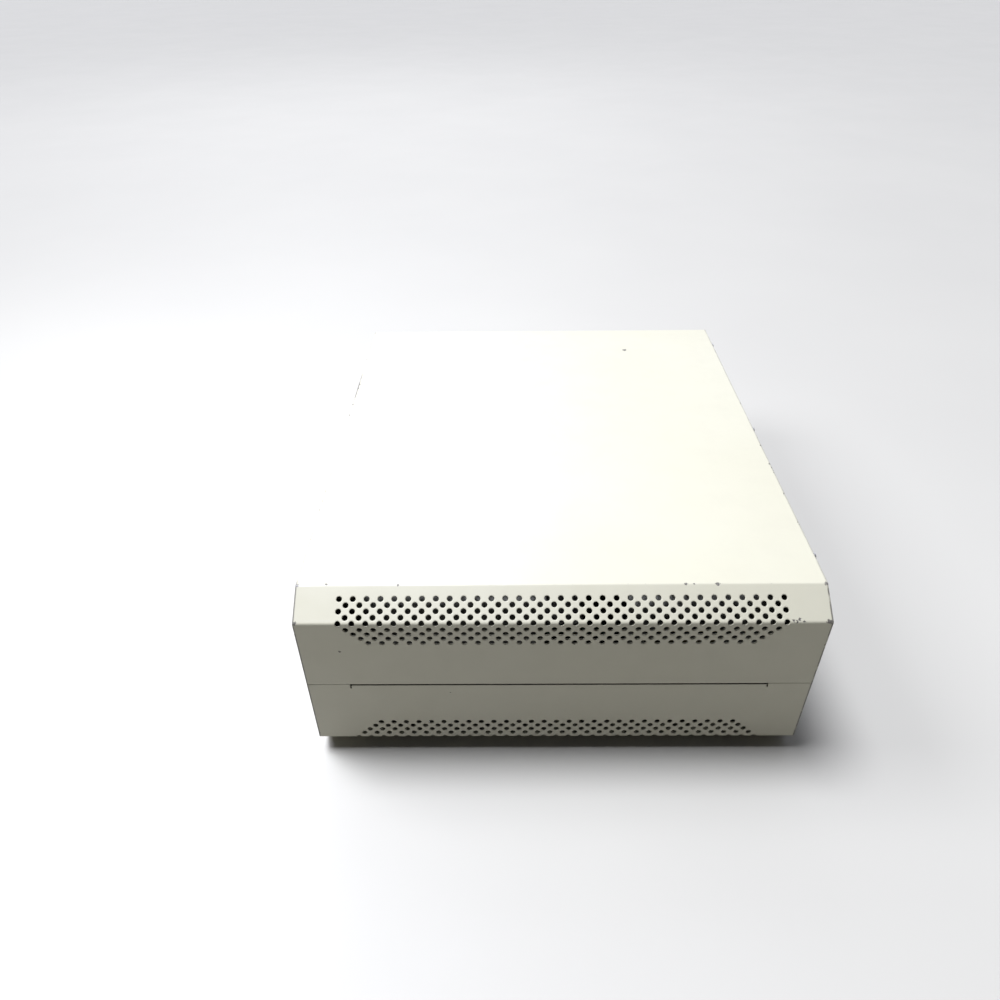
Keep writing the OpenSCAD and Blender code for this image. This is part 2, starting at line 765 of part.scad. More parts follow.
module motherboard()
    color(board_green)
        difference() {
            block([board_x0, board_y0, board_z], [board_x1, board_y0 + board_y, board_top]);
            for (hole = board_holes)
                translate([hole[0], hole[1], board_z - 1]) cylinder(r = 2, h = 4);
        }

module board_standoffs()
    color([0.78, 0.62, 0.25])
        for (hole = board_holes)
            difference() {
                union() {
                    translate([hole[0], hole[1], tray_z + tray_t]) cylinder(r = 3, h = standoff_h, $fn = 6);
                    translate([hole[0], hole[1], tray_z - 2]) cylinder(r = 1.5, h = 4);
                }
                translate([hole[0], hole[1], tray_z + 3]) cylinder(r = 1.5, h = standoff_h);
            }

// A pan-head screw driven in the -Z direction, its head's underside at z
module screw_z(x, y, z, length) {
    translate([x, y, z - length]) cylinder(r = screw_r, h = length + eps);
    difference() {
        translate([x, y, z]) cylinder(r = 2.9, h = 1.8);
        for (turn = [0, 90])
            translate([x, y, z + 1.8]) rotate([0, 0, turn]) cube([3.8, 0.8, 1.4], center = true);
    }
}

// Screws that hold the board, the card brackets and the 3.5 inch drives
module inner_screws()
    color(metal) {
        for (hole = board_holes) screw_z(hole[0], hole[1], board_top, 5);
        for (y = [floppy_y, hard_drive_y])
            for (x = disk_screw_x) {
                screw_z(x, y, disk_mid_z + disk_w / 2 + cage_t, 3);
                translate([0, 0, 2 * disk_mid_z]) mirror([0, 0, 1])
                    screw_z(x, y, disk_mid_z + disk_w / 2 + cage_t, 3);
            }
        for (i = [0 : slot_count - 1]) screw_z(bracket_screw_x, slot_y(i), ledge_z + bracket_t, 3.5);
    }

bracket_t = 1.2;
bracket_screw_x = frame_x1 - 7.5;
bracket_w = 18.4;

// Blank brackets behind the card slots; the first one carries the video socket
module card_brackets()
    color(metal)
        for (i = [0 : slot_count - 1])
            translate([0, slot_y(i), 0])
                difference() {
                    union() {
                        block([frame_x1 - bracket_t, -bracket_w / 2, 10],
                              [frame_x1, bracket_w / 2, ledge_z + bracket_t]);
                        block([ledge_x, -bracket_w / 2, ledge_z],
                              [frame_x1, bracket_w / 2, ledge_z + bracket_t]);
                    }
                    translate([bracket_screw_x, 0, ledge_z - 1]) cylinder(r = screw_r, h = 4);
                    if (i == 0)
                        block([frame_x1 - 2, -5, 52], [frame_x1 + 1, 5, 84]);
                }

cpu_x = 100;
cpu_y = -60;
cpu_socket_h = 4;
cpu_h = 3;
sink_base = 5;
sink_h = 26;
sink_half = 31;
sink_z = board_top + cpu_socket_h + cpu_h;
fin_count = 14;
fin_t = 1.4;
fin_pitch = (2 * sink_half - fin_t) / (fin_count - 1);

module processor_socket()
    color([0.9, 0.88, 0.8]) {
        translate([cpu_x, cpu_y, board_top + cpu_socket_h / 2]) cube([52, 52, cpu_socket_h], center = true);
        rod_y([cpu_x - 28, cpu_y - 24, board_top + 2], 0.9, 46);
    }

module processor()
    color([0.35, 0.2, 0.14]) {
        translate([cpu_x, cpu_y, board_top + cpu_socket_h + 0.6]) cube([44, 44, 1.2], center = true);
        translate([cpu_x, cpu_y, board_top + cpu_socket_h + cpu_h / 2]) cube([18, 18, cpu_h], center = true);
    }

module heatsink()
    color([0.75, 0.76, 0.78])
        translate([cpu_x, cpu_y, sink_z]) {
            translate([-sink_half, -sink_half, 0]) cube([2 * sink_half, 2 * sink_half, sink_base]);
            for (i = [0 : fin_count - 1])
                translate([-sink_half + i * fin_pitch, -sink_half, sink_base - eps])
                    cube([fin_t, 2 * sink_half, sink_h - sink_base]);
        }

cpu_fan_z = sink_z + sink_h;
module cpu_fan_frame()
    color(black_plastic)
        translate([cpu_x, cpu_y, cpu_fan_z]) fan_frame(cpu_fan_size, cpu_fan_depth, cpu_hub_r);
module cpu_fan_rotor()
    color(dark_plastic)
        translate([cpu_x, cpu_y, cpu_fan_z]) fan_rotor(cpu_fan_size, cpu_fan_depth, cpu_hub_r);

memory_x = [36, 47, 58];
memory_y0 = -112;
memory_len = 138;
module_len = 133;
module_t = 1.3;

module memory_sockets()
    color(black_plastic)
        for (x = memory_x)
            difference() {
                union() {
                    block([x - 3.2, memory_y0, board_top], [x + 3.2, memory_y0 + memory_len, board_top + 7]);
                    for (y = [memory_y0, memory_y0 + memory_len - 5])
                        block([x - 2.6, y, board_top], [x + 2.6, y + 5, board_top + 15]);
                }
                block([x - module_t / 2, memory_y0 + (memory_len - module_len) / 2, board_top + 2.5],
                      [x + module_t / 2, memory_y0 + (memory_len + module_len) / 2, board_top + 16]);
            }

// Two memory modules with a row of chips on both faces
module memory_modules()
    color([0.1, 0.38, 0.2])
        for (x = [memory_x[0], memory_x[1]])
            translate([x, memory_y0 + memory_len / 2, board_top + 2.5]) {
                translate([-module_t / 2, -module_len / 2, 0]) cube([module_t, module_len, 30]);
                for (i = [0 : 7])
                    translate([-module_t / 2 - 1, (i - 3.5) * 15.4 - 5.5, 10]) cube([module_t + 2, 11, 15]);
            }

socket_x0 = 58;
socket_x1 = 143;
card_socket_count = 6;

module card_sockets()
    color([0.93, 0.92, 0.88])
        for (i = [0 : card_socket_count - 1])
            translate([0, slot_y(i), board_top])
                difference() {
                    block([socket_x0, -4.3, 0], [socket_x1, 4.3, 11]);
                    block([socket_x0 + 2, -0.8, 3], [socket_x1 - 2, 0.8, 12]);
                }

card_t = 1.6;
card_x0 = 44;

module video_card()
    color([0.12, 0.36, 0.22])
        translate([0, slot_y0, 0]) {
            block([socket_x0 + 3, -card_t / 2, board_top + 3.5], [socket_x1 - 3, card_t / 2, board_top + 13]);
            block([card_x0, -card_t / 2, board_top + 12],
                  [frame_x1 - bracket_t - 1, card_t / 2, board_top + 98]);
            block([85, card_t / 2 - eps, board_top + 30], [125, 3.4, board_top + 70]);
            for (i = [0 : 8])
                block([85 + i * 4.8, 3.3, board_top + 30], [86.6 + i * 4.8, 9, board_top + 70]);
            for (x = [card_x0 + 4, card_x0 + 22])
                for (z = [34, 56])
                    block([x, card_t / 2 - eps, board_top + z], [x + 14, 2, board_top + z + 18]);
            // video socket that stands in the bracket
            difference() {
                block([172, -4.6, 54], [frame_x1 + 0.6, 4.6, 82]);
                block([frame_x1 - 6, -3.4, 56.5], [frame_x1 + 1, 3.4, 79.5]);
            }
        }

ide_x = [6, 22];
ide_y = -24;
ide_half = 28;
floppy_socket_x = -12;
header_at = [-45, 145];
header_h = 8;
power_socket_at = [96, -114];
power_socket_h = 12;
plug_top = board_top + 20;

// A box that stands on the board, from z0 to z1 above it
module on_board(at, half_x, half_y, z0, z1)
    block([at[0] - half_x, at[1] - half_y, board_top + z0], [at[0] + half_x, at[1] + half_y, board_top + z1]);

// Sockets on the board for the drive cables, the supply and the front controls
module board_connectors()
    color([0.12, 0.2, 0.5]) {
        for (x = ide_x)
            on_board([x, ide_y], 4, ide_half, 0, 9);
        on_board([floppy_socket_x, floppy_y], 25, 4, 0, 9);
        on_board(power_socket_at, 26, 5, 0, power_socket_h);
        on_board(header_at, 3, 12, 0, header_h);
    }

// Chipset with its own small heatsink, other chips and the coin cell
module board_chips()
    color([0.13, 0.13, 0.14]) {
        translate([20, 62, board_top + 1.5]) cube([32, 32, 3], center = true);
        translate([20, 62, board_top + 4.5]) cube([38, 38, 3], center = true);
        for (i = [0 : 7])
            translate([3 + i * 4.86, 62, board_top + 10]) cube([1.5, 38, 9], center = true);
        translate([-20, 110, board_top + 1.5]) cube([30, 30, 3], center = true);
        translate([25, 150, board_top + 1]) cube([24, 18, 2], center = true);
        translate([-20, 60, board_top + 1]) cube([14, 20, 2], center = true);
        translate([165, 160, board_top + 1]) cube([10, 18, 2], center = true);
        translate([-25, 145, board_top]) cylinder(r = 10, h = 3.2);
    }

cap_r = 4;
cap_h = 12;

module capacitors()
    color([0.16, 0.17, 0.3]) {
        for (i = [0 : 7])
            translate([150, -104 + i * 11, board_top]) cylinder(r = cap_r, h = cap_h);
        for (i = [0 : 4])
            translate([80 + i * 11, -20, board_top]) cylinder(r = cap_r, h = cap_h);
        for (i = [0 : 4])
            translate([68 + i * 14, -99, board_top]) cylinder(r = cap_r, h = cap_h);
    }

// Rear sockets of the board: [low y, high y, low z above the board, high z above the board]
port_front = 168;
port_back = frame_x1 + 0.9;
ps2_block = [-114.4, -101, 0, 27];
usb_block = [-97, -82, 0, 17];
network_block = [-97, -82, 18, 32];
parallel_block = [-79, -19, 13.5, 27];
serial_blocks = [[-79, -49.8, 0, 12], [-48.2, -19, 0, 12]];
audio_block = [-14, 26, 0, 13];
game_block = [-14, 26, 14, 27];
port_list = concat([ps2_block, usb_block, network_block, parallel_block, audio_block, game_block],
                   serial_blocks);

// The body of a socket, grown all round except where it stands on the board
module port_body(p, grow = 0, x0 = port_front, x1 = port_back)
    block([x0, p[0] - grow, board_top + p[2] - (p[2] > 0 ? grow : 0)],
          [x1, p[1] + grow, board_top + p[3] + grow]);

// The tapered opening of a D-shaped socket
module d_socket(p, depth)
    along_x(port_back - depth, depth + 1)
        translate([(p[0] + p[1]) / 2, board_top + (p[2] + p[3]) / 2])
            polygon([[-(p[1] - p[0]) / 2 + 7, -3.6], [(p[1] - p[0]) / 2 - 7, -3.6],
                     [(p[1] - p[0]) / 2 - 5.7, 3.6], [-(p[1] - p[0]) / 2 + 5.7, 3.6]]);

module io_ports()
    color(dark_steel)
        difference() {
            for (p = port_list) port_body(p);
            for (z = [7, 20])
                rod_x([port_back - 8, (ps2_block[0] + ps2_block[1]) / 2, board_top + z], 4.8, 9);
            for (z = [4.5, 12.5])
                span_x(port_back - 12, port_back + 1, (usb_block[0] + usb_block[1]) / 2, board_top + z, 6.3, 2.5);
            block([port_back - 12, network_block[0] + 1.6, board_top + 20.5],
                  [port_back + 1, network_block[1] - 1.6, board_top + 29]);
            d_socket(parallel_block, 6);
            d_socket(game_block, 6);
            for (p = serial_blocks) d_socket(p, 6);
            for (y = [-7, 6, 19])
                rod_x([port_back - 12, y, board_top + 6.5], 1.8, 13);
        }

module io_shield()
    color(metal)
        difference() {
            block([frame_x1, shield_low[0], shield_low[1]],
                  [frame_x1 + 0.5, shield_low[0] + shield_size[0], shield_low[1] + shield_size[1]]);
            for (p = port_list) port_body(p, 0.15, frame_x1 - 1, frame_x1 + 2);
        }

// ---------- power supply ----------

supply_wall = 1;
inlet_y = -162;
inlet_z = 124;
rocker_y = -192;
rocker_z = 124;
inlet_half = [10, 14];
inlet_floor_x = supply_high[0] - 16;
switch_half = [7, 11];

module supply_case()
    color(zinc)
        difference() {
            union() {
                block(supply_low, [supply_high[0], supply_high[1], supply_low[2] + supply_wall]);
                block([supply_high[0] - supply_wall, supply_low[1], supply_low[2]], supply_high);
                block(supply_low, [supply_low[0] + supply_wall, supply_high[1], supply_high[2]]);
            }
            translate([supply_high[0] - 3, supply_mid_y, supply_fan_z]) rotate([90, 0, 90])
                difference() {
                    for (r = [10, 16, 22, 28, 34])
                        difference() {
                            cylinder(r = r + 2, h = 5);
                            translate([0, 0, -1]) cylinder(r = r - 2, h = 7);
                        }
                    for (turn = [45, 135])
                        rotate([0, 0, turn]) cube([fan_size, 4, 20], center = true);
                }
            span_x(supply_high[0] - 3, supply_high[0] + 1, inlet_y, inlet_z, inlet_half[0], inlet_half[1]);
            span_x(supply_high[0] - 3, supply_high[0] + 1, rocker_y, rocker_z, switch_half[0], switch_half[1]);
            for (y = supply_screw_y)
                for (z = supply_screw_z)
                    rod_x([supply_high[0] - 3, y, z], screw_r, 5);
            // cable outlet and air slots at the inner end
            for (cable = supply_outlets)
                rod_x([supply_low[0] - 1, cable[0], cable[1]], cable[2], 4);
            for (i = [0 : 6])
                block([supply_low[0] - 1, supply_low[1] + 10 + i * 10, 50],
                      [supply_low[0] + 2, supply_low[1] + 14 + i * 10, 100]);
        }

module supply_cover()
    color(zinc)
        difference() {
            union() {
                block([supply_low[0] + supply_wall, supply_low[1], supply_high[2] - supply_wall],
                      [supply_high[0] - supply_wall, supply_high[1], supply_high[2]]);
                for (y = [supply_low[1], supply_high[1] - supply_wall])
                    block([supply_low[0] + supply_wall, y, supply_low[2] + supply_wall],
                          [supply_high[0] - supply_wall, y + supply_wall, supply_high[2]]);
            }
            for (i = [0 : 8])
                block([supply_low[0] + 16, supply_low[1] - 1, 30 + i * 12],
                      [supply_low[0] + 76, supply_low[1] + 3, 34 + i * 12]);
        }

// The supply's circuit board with its transformer, two heatsinks and large capacitors
module supply_board()
    color([0.7, 0.6, 0.35])
        translate([supply_low[0] + 6, supply_low[1] + 6, supply_low[2] + supply_wall]) {
            translate([0, 0, 4]) cube([100, 74, 1.6]);
            for (x = [4, 92])
                for (y = [4, 66])
                    translate([x, y, 0]) cylinder(r = 2.5, h = 4.2);
            translate([36, 22, 5.5]) cube([34, 30, 34]);
            for (y = [8, 58])
                translate([30, y, 5.5]) cube([48, 3, 60]);
            for (y = [24, 48])
                translate([86, y, 5.5]) cylinder(r = 10, h = 40);
            for (y = [20, 36, 52])
                translate([16, y, 5.5]) cylinder(r = 5, h = 22);
        }

supply_fan_x = supply_high[0] - supply_wall;
module supply_fan_frame()
    color(black_plastic)
        place_fan_x(supply_fan_x, supply_mid_y, supply_fan_z) fan_frame(fan_size, fan_depth, hub_r);
module supply_fan_rotor()
    color(dark_plastic)
        place_fan_x(supply_fan_x, supply_mid_y, supply_fan_z) fan_rotor(fan_size, fan_depth, hub_r);

// Mains inlet with a recess and three blades
module supply_inlet()
    color(black_plastic) {
        difference() {
            span_x(supply_high[0] - 22, supply_high[0] + 0.6, inlet_y, inlet_z, inlet_half[0], inlet_half[1]);
            span_x(inlet_floor_x, supply_high[0] + 1, inlet_y, inlet_z, 8, 12);
        }
        for (blade = [[2, -7], [-2, 0], [2, 7]])
            span_x(inlet_floor_x - 0.5, inlet_floor_x + 8.5, inlet_y + blade[0], inlet_z + blade[1], 2, 1);
    }

rocker_axis_x = supply_high[0] - 3.3;
rocker_tilt = 10;
rocker_pin_r = 1.5;

module switch_housing()
    color(black_plastic)
        difference() {
            span_x(supply_high[0] - 14, supply_high[0] + 0.6, rocker_y, rocker_z, switch_half[0], switch_half[1]);
            span_x(supply_high[0] - 11, supply_high[0] + 1, rocker_y, rocker_z, 5.2, 9);
            rod_y([rocker_axis_x, rocker_y - 6.6, rocker_z], rocker_pin_r + 0.06, 13.2);
        }

// The rocker of the supply's switch, tilted to one side, with its pins
module supply_switch()
    color(dark_plastic)
        translate([rocker_axis_x, rocker_y, rocker_z]) {
            rotate([0, -rocker_tilt, 0])
                translate([0, -5, 0]) rotate([-90, 0, 0]) linear_extrude(10)
                    polygon([[-2, -8], [2.6, -8], [4.3, 0], [2.6, 8], [-2, 8]]);
            rod_y([0, -6.4, 0], rocker_pin_r, 12.8);
        }

module supply_screws()
    color(metal)
        for (y = supply_screw_y)
            for (z = supply_screw_z)
                screw_x(rear_panel_x + panel_t, y, z, supply_screw_length);

// ---------- cables inside the case ----------

ribbon_t = 0.8;
ribbon_w = 50;
floppy_ribbon_w = 43;
ribbon_bend = 6;

// A flat cable leaves a drive along +X, turns towards +Y, folds over at 45 degrees
// and drops to its socket
module ribbon(x0, y0, mid_z, x_drop, y_drop) {
    low = mid_z - ribbon_w / 2;
    high = mid_z + ribbon_w / 2;
    y_turn = y0 + ribbon_bend;
    x_turn = x_drop - ribbon_bend;
    block([x0, y0 - ribbon_t / 2, low], [x_turn, y0 + ribbon_t / 2, high]);
    translate([x_turn, y_turn, low])
        difference() {
            cylinder(r = ribbon_bend + ribbon_t / 2, h = ribbon_w);
            translate([0, 0, -1]) cylinder(r = ribbon_bend - ribbon_t / 2, h = ribbon_w + 2);
            block([-2 * ribbon_bend, -2 * ribbon_bend, -1], [0, 2 * ribbon_bend, ribbon_w + 1]);
            block([-2 * ribbon_bend, 0, -1], [2 * ribbon_bend, 2 * ribbon_bend, ribbon_w + 1]);
        }
    along_x(x_drop - ribbon_t / 2, ribbon_t)
        polygon([[y_turn, low], [y_drop + ribbon_w / 2, low], [y_drop - ribbon_w / 2, high], [y_turn, high]]);
    along_x(x_drop + ribbon_t / 2 - eps, ribbon_t)
        polygon([[y_drop - ribbon_w / 2, high], [y_drop + ribbon_w / 2, low],
                 [y_drop + ribbon_w / 2, plug_top - 8], [y_drop - ribbon_w / 2, plug_top - 8]]);
}

plug_t = 6;

// The plugs at both ends of a ribbon cable
module ribbon_plugs(x_drive, y_drive, mid_z, x_socket, y_socket) {
    span_x(x_drive, x_drive + plug_t, y_drive, mid_z, 4, ribbon_w / 2 + 2);
    on_board([x_socket, y_socket], 3.6, ribbon_w / 2 + 2, 9, plug_top - board_top - 4);
}

module ribbon_cables()
    color([0.62, 0.63, 0.66]) {
        ribbon(disk_x1 + plug_t - 1, hard_drive_y, disk_mid_z, ide_x[0], ide_y);
        ribbon_plugs(disk_x1, hard_drive_y, disk_mid_z, ide_x[0], ide_y);
        ribbon(optical_x1 + plug_t - 1, optical_y + 8, 118, ide_x[1], ide_y);
        ribbon_plugs(optical_x1, optical_y + 8, 118, ide_x[1], ide_y);
        floppy_ribbon();
    }

// The floppy cable folds down straight behind its drive
module floppy_ribbon() {
    x0 = floppy_x1 + plug_t;
    x1 = floppy_socket_x - floppy_ribbon_w / 2;
    x2 = floppy_socket_x + floppy_ribbon_w / 2;
    low = disk_mid_z - floppy_ribbon_w / 2 - 8;
    high = low + floppy_ribbon_w;
    translate([0, floppy_y + ribbon_t / 2, 0]) rotate([90, 0, 0]) linear_extrude(ribbon_t)
        polygon([[x0 - 1, low], [x2, low], [x1, high], [x0 - 1, high]]);
    translate([0, floppy_y + 3 * ribbon_t / 2 - eps, 0]) rotate([90, 0, 0]) linear_extrude(ribbon_t)
        polygon([[x1, high], [x2, low], [x2, plug_top - 8], [x1, plug_top - 8]]);
    block([floppy_x1, floppy_y - 4, low - 2], [x0, floppy_y + 4, high + 2]);
    block([x1 - 2, floppy_y - 3.6, board_top + 9], [x2 + 2, floppy_y + 3.6, plug_top - 4]);
}

// A round tube swept along a smooth line through the given points
tube_sides = 8;
smooth_steps = 5;
function spline(p0, p1, p2, p3, t) =
    0.5 * (2 * p1 + (p2 - p0) * t
           + (2 * p0 - 5 * p1 + 4 * p2 - p3) * t * t
           + (3 * p1 - p0 - 3 * p2 + p3) * t * t * t);
function smooth(path) =
    let (n = len(path))
    concat([for (i = [0 : n - 2]) for (k = [0 : smooth_steps - 1])
        spline(path[max(i - 1, 0)], path[i], path[i + 1], path[min(i + 2, n - 1)], k / smooth_steps)],
        [path[n - 1]]);
function unit(v) = v / norm(v);
function tangent(line, i) = unit(line[min(i + 1, len(line) - 1)] - line[max(i - 1, 0)]);
function ring(centre, along, r) =
    let (side = unit(cross(along, abs(along[1]) > 0.9 ? [1, 0, 0] : [0, 1, 0])), up = cross(along, side))
    [for (k = [0 : tube_sides - 1])
        centre + r * (cos(k * 360 / tube_sides) * side + sin(k * 360 / tube_sides) * up)];
module tube(path, r) {
    line = smooth(path);
    count = len(line);
    rings = [for (i = [0 : count - 1]) ring(line[i], tangent(line, i), r)];
    points = [for (one = rings) for (p = one) p];
    walls = [for (i = [0 : count - 2]) for (k = [0 : tube_sides - 1])
        [i * tube_sides + k, (i + 1) * tube_sides + k,
         (i + 1) * tube_sides + (k + 1) % tube_sides, i * tube_sides + (k + 1) % tube_sides]];
    ends = [[for (k = [0 : tube_sides - 1]) k],
            [for (k = [tube_sides - 1 : -1 : 0]) (count - 1) * tube_sides + k]];
    polyhedron(points, concat(walls, ends), convexity = 4);
}

// Where the supply's cables leave it: [y, z, radius of the hole]
supply_outlets = [[-150, 120, 5], [-165, 138, 3.4], [-195, 30, 3.4]];
board_cable_r = 4;
drive_cable_r = 2.4;
lead_r = 1.4;
board_cable = [[47, -150, 120], [40, -146, 116], [36, -134, 98], [42, -122, 74], [62, -119, 54],
               [86, -116, 50], [96, -114, 44], [96, -114, 36]];
disk_cable = [[47, -165, 138], [38, -164, 148], [20, -152, 152], [8, -124, 152], [-2, -92, 150],
              [-12, -76, 145], [-22, -74, 143], [-28, -74, 143]];
optical_cable = [[47, -195, 30], [34, -196, 28], [14, -193, 28], [0, -195, 30], [-5, -195, 30]];
control_leads = [[-172, 34, 95.8], [-172, 36, 70], [-166, 56, 36], [-150, 92, 16], [-110, 130, 14],
                 [-74, 143, 20], [-52, 145, 34], [-45, 145, 34], [-45, 145, 26]];

// Power cables with their plugs
module power_cables()
    color([0.75, 0.62, 0.2]) {
        tube(board_cable, board_cable_r);
        tube(disk_cable, drive_cable_r);
        tube(optical_cable, drive_cable_r);
        on_board(power_socket_at, 26, 5, power_socket_h, plug_top - board_top);
        block([disk_x1, hard_drive_y - 4, 134], [disk_x1 + plug_t, hard_drive_y + 4, 153]);
        span_x(optical_x1, optical_x1 + plug_t, optical_y, 30, 4, 10);
    }

module control_cable()
    color([0.7, 0.15, 0.12]) {
        tube(control_leads, lead_r);
        on_board(header_at, 3, 12, header_h, header_h + 5);
    }

lower_cover();
upper_cover();
lower_cover_feet();
upper_cover_feet();
lower_cover_screws();
upper_cover_screws();
rear_panel();
front_panel();
side_rails();
board_tray();
drive_bay_cage();
disk_cage();
front_bezel();
bay_cover();
power_button();
reset_button();
front_lights();
switch_block();
optical_case();
optical_face();
optical_tray();
tray_front();
optical_eject_button();
floppy_case();
floppy_face();
floppy_eject_button();
hard_drive();
hard_drive_board();
motherboard();
board_standoffs();
inner_screws();
processor_socket();
processor();
heatsink();
cpu_fan_frame();
cpu_fan_rotor();
memory_sockets();
memory_modules();
card_sockets();
video_card();
card_brackets();
board_connectors();
board_chips();
capacitors();
io_ports();
io_shield();
supply_case();
supply_cover();
supply_board();
supply_fan_frame();
supply_fan_rotor();
supply_inlet();
switch_housing();
supply_switch();
supply_screws();
case_fan_frame();
case_fan_rotor();
ribbon_cables();
power_cables();
control_cable();
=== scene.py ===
"""Looks for the desktop computer tower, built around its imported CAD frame.

The tower lies on its side. The covers, frame, drives, board and supply are CAD nodes that get their
materials here; the wiring and the small board parts are pieces made in this script.
"""

import json
import math
import random

import bmesh
import bpy
from mathutils import Matrix, Vector


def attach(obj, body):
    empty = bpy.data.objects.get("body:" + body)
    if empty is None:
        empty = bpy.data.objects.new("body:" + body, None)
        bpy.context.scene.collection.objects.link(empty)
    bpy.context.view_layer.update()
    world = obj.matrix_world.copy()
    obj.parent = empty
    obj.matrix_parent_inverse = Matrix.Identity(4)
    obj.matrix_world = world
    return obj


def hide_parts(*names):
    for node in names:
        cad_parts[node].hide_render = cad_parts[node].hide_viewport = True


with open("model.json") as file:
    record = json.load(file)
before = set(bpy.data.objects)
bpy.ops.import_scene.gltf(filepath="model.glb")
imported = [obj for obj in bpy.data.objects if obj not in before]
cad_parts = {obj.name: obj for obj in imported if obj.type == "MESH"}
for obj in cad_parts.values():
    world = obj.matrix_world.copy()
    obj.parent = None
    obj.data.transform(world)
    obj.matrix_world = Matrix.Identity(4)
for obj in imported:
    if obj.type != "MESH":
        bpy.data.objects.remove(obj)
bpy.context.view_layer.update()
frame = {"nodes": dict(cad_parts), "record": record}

NODES = frame["nodes"]
MM = 0.001

# ---------------------------------------------------------------- node helpers


class Shader:
    """A short way to write a node material around one Principled shader."""

    def __init__(self, name, metallic=0.0):
        self.mat = bpy.data.materials.new(name)
        self.mat.use_nodes = True
        self.tree = self.mat.node_tree
        self.bsdf = self.tree.nodes["Principled BSDF"]
        self.bsdf.inputs["Metallic"].default_value = metallic
        self.bsdf.inputs["IOR"].default_value = 1.5
        self.place = self.add("ShaderNodeTexCoord").outputs["Object"]

    def add(self, kind, inputs=None, **props):
        node = self.tree.nodes.new(kind)
        for key, value in props.items():
            setattr(node, key, value)
        for key, value in (inputs or {}).items():
            self.feed(node.inputs[key], value)
        return node

    def feed(self, socket, value):
        if isinstance(value, bpy.types.NodeSocket):
            self.tree.links.new(value, socket)
        else:
            socket.default_value = value

    def stretched(self, scale, turn=(0, 0, 0)):
        node = self.add("ShaderNodeMapping", {"Vector": self.place, "Scale": scale, "Rotation": turn})
        return node.outputs["Vector"]

    def noise(self, scale, detail=3.0, rough=0.5, place=None):
        node = self.add("ShaderNodeTexNoise", {"Vector": place or self.place, "Scale": scale,
                                               "Detail": detail, "Roughness": rough})
        return node.outputs["Fac"]

    def varied(self, scale, low=0.0, high=1.0, detail=3.0):
        """A soft noise that swings between two values."""
        return self.span(self.noise(scale, detail), 0.3, 0.7, low, high)

    def cells(self, scale, output="Distance"):
        node = self.add("ShaderNodeTexVoronoi", {"Vector": self.place, "Scale": scale})
        return node.outputs[output]

    def math(self, operation, a, b=0.0, c=0.0):
        node = self.add("ShaderNodeMath", operation=operation)
        for socket, value in zip(node.inputs, (a, b, c)):
            self.feed(socket, value)
        return node.outputs[0]

    def span(self, value, low, high, to_low=0.0, to_high=1.0):
        """Maps low..high to to_low..to_high, clamped."""
        node = self.add("ShaderNodeMapRange", {"Value": value, "From Min": low, "From Max": high,
                                               "To Min": to_low, "To Max": to_high})
        return node.outputs["Result"]

    def mix(self, factor, a, b):
        node = self.add("ShaderNodeMix", data_type="RGBA")
        self.feed(node.inputs["Factor"], factor)
        self.feed(node.inputs[6], a)
        self.feed(node.inputs[7], b)
        return node.outputs[2]

    def axes(self):
        node = self.add("ShaderNodeSeparateXYZ", {"Vector": self.place})
        return node.outputs["X"], node.outputs["Y"], node.outputs["Z"]

    def bump(self, height, distance, strength=1.0, under=None):
        node = self.add("ShaderNodeBump", {"Height": height, "Distance": distance, "Strength": strength})
        if under is not None:
            self.feed(node.inputs["Normal"], under)
        return node.outputs["Normal"]

    def soft_edge(self, radius):
        return self.add("ShaderNodeBevel", {"Radius": radius}, samples=4).outputs["Normal"]

    def finish(self, colour=None, rough=None, normal=None, metallic=None):
        sockets = {"Base Color": colour, "Roughness": rough, "Normal": normal, "Metallic": metallic}
        for key, value in sockets.items():
            if value is not None:
                self.feed(self.bsdf.inputs[key], value)
        return self.mat


def rgb(r, g, b):
    return (r, g, b, 1.0)


def spot(shader, centre, radius):
    """1 inside a ragged spot around a point, 0 outside."""
    node = shader.add("ShaderNodeVectorMath", {0: shader.place, 1: centre}, operation="DISTANCE")
    ragged = shader.span(shader.noise(900, 2.0), 0.2, 0.8, -0.7 * radius, 0.7 * radius)
    reach = shader.math("ADD", node.outputs["Value"], ragged)
    return shader.span(reach, radius * 0.8, radius, 1.0, 0.0)


# ---------------------------------------------------------------- materials

HALF_X = 192.5 * MM
MID_Z = 81 * MM
SEAM_FLANGE_Z = 79.75 * MM
# Bend lines of the covers: distance from the X-Z plane, and from the mid-plane
SIDE_BEND = (238 * MM, 65.3 * MM)
TOP_BEND = (214 * MM, 81 * MM)
SHEET_WEAR = 2.6 * MM   # how far the rubbing reaches in from an edge
PEEL_DEPTH = 0.035 * MM
CHIP_DEPTH = 0.12 * MM

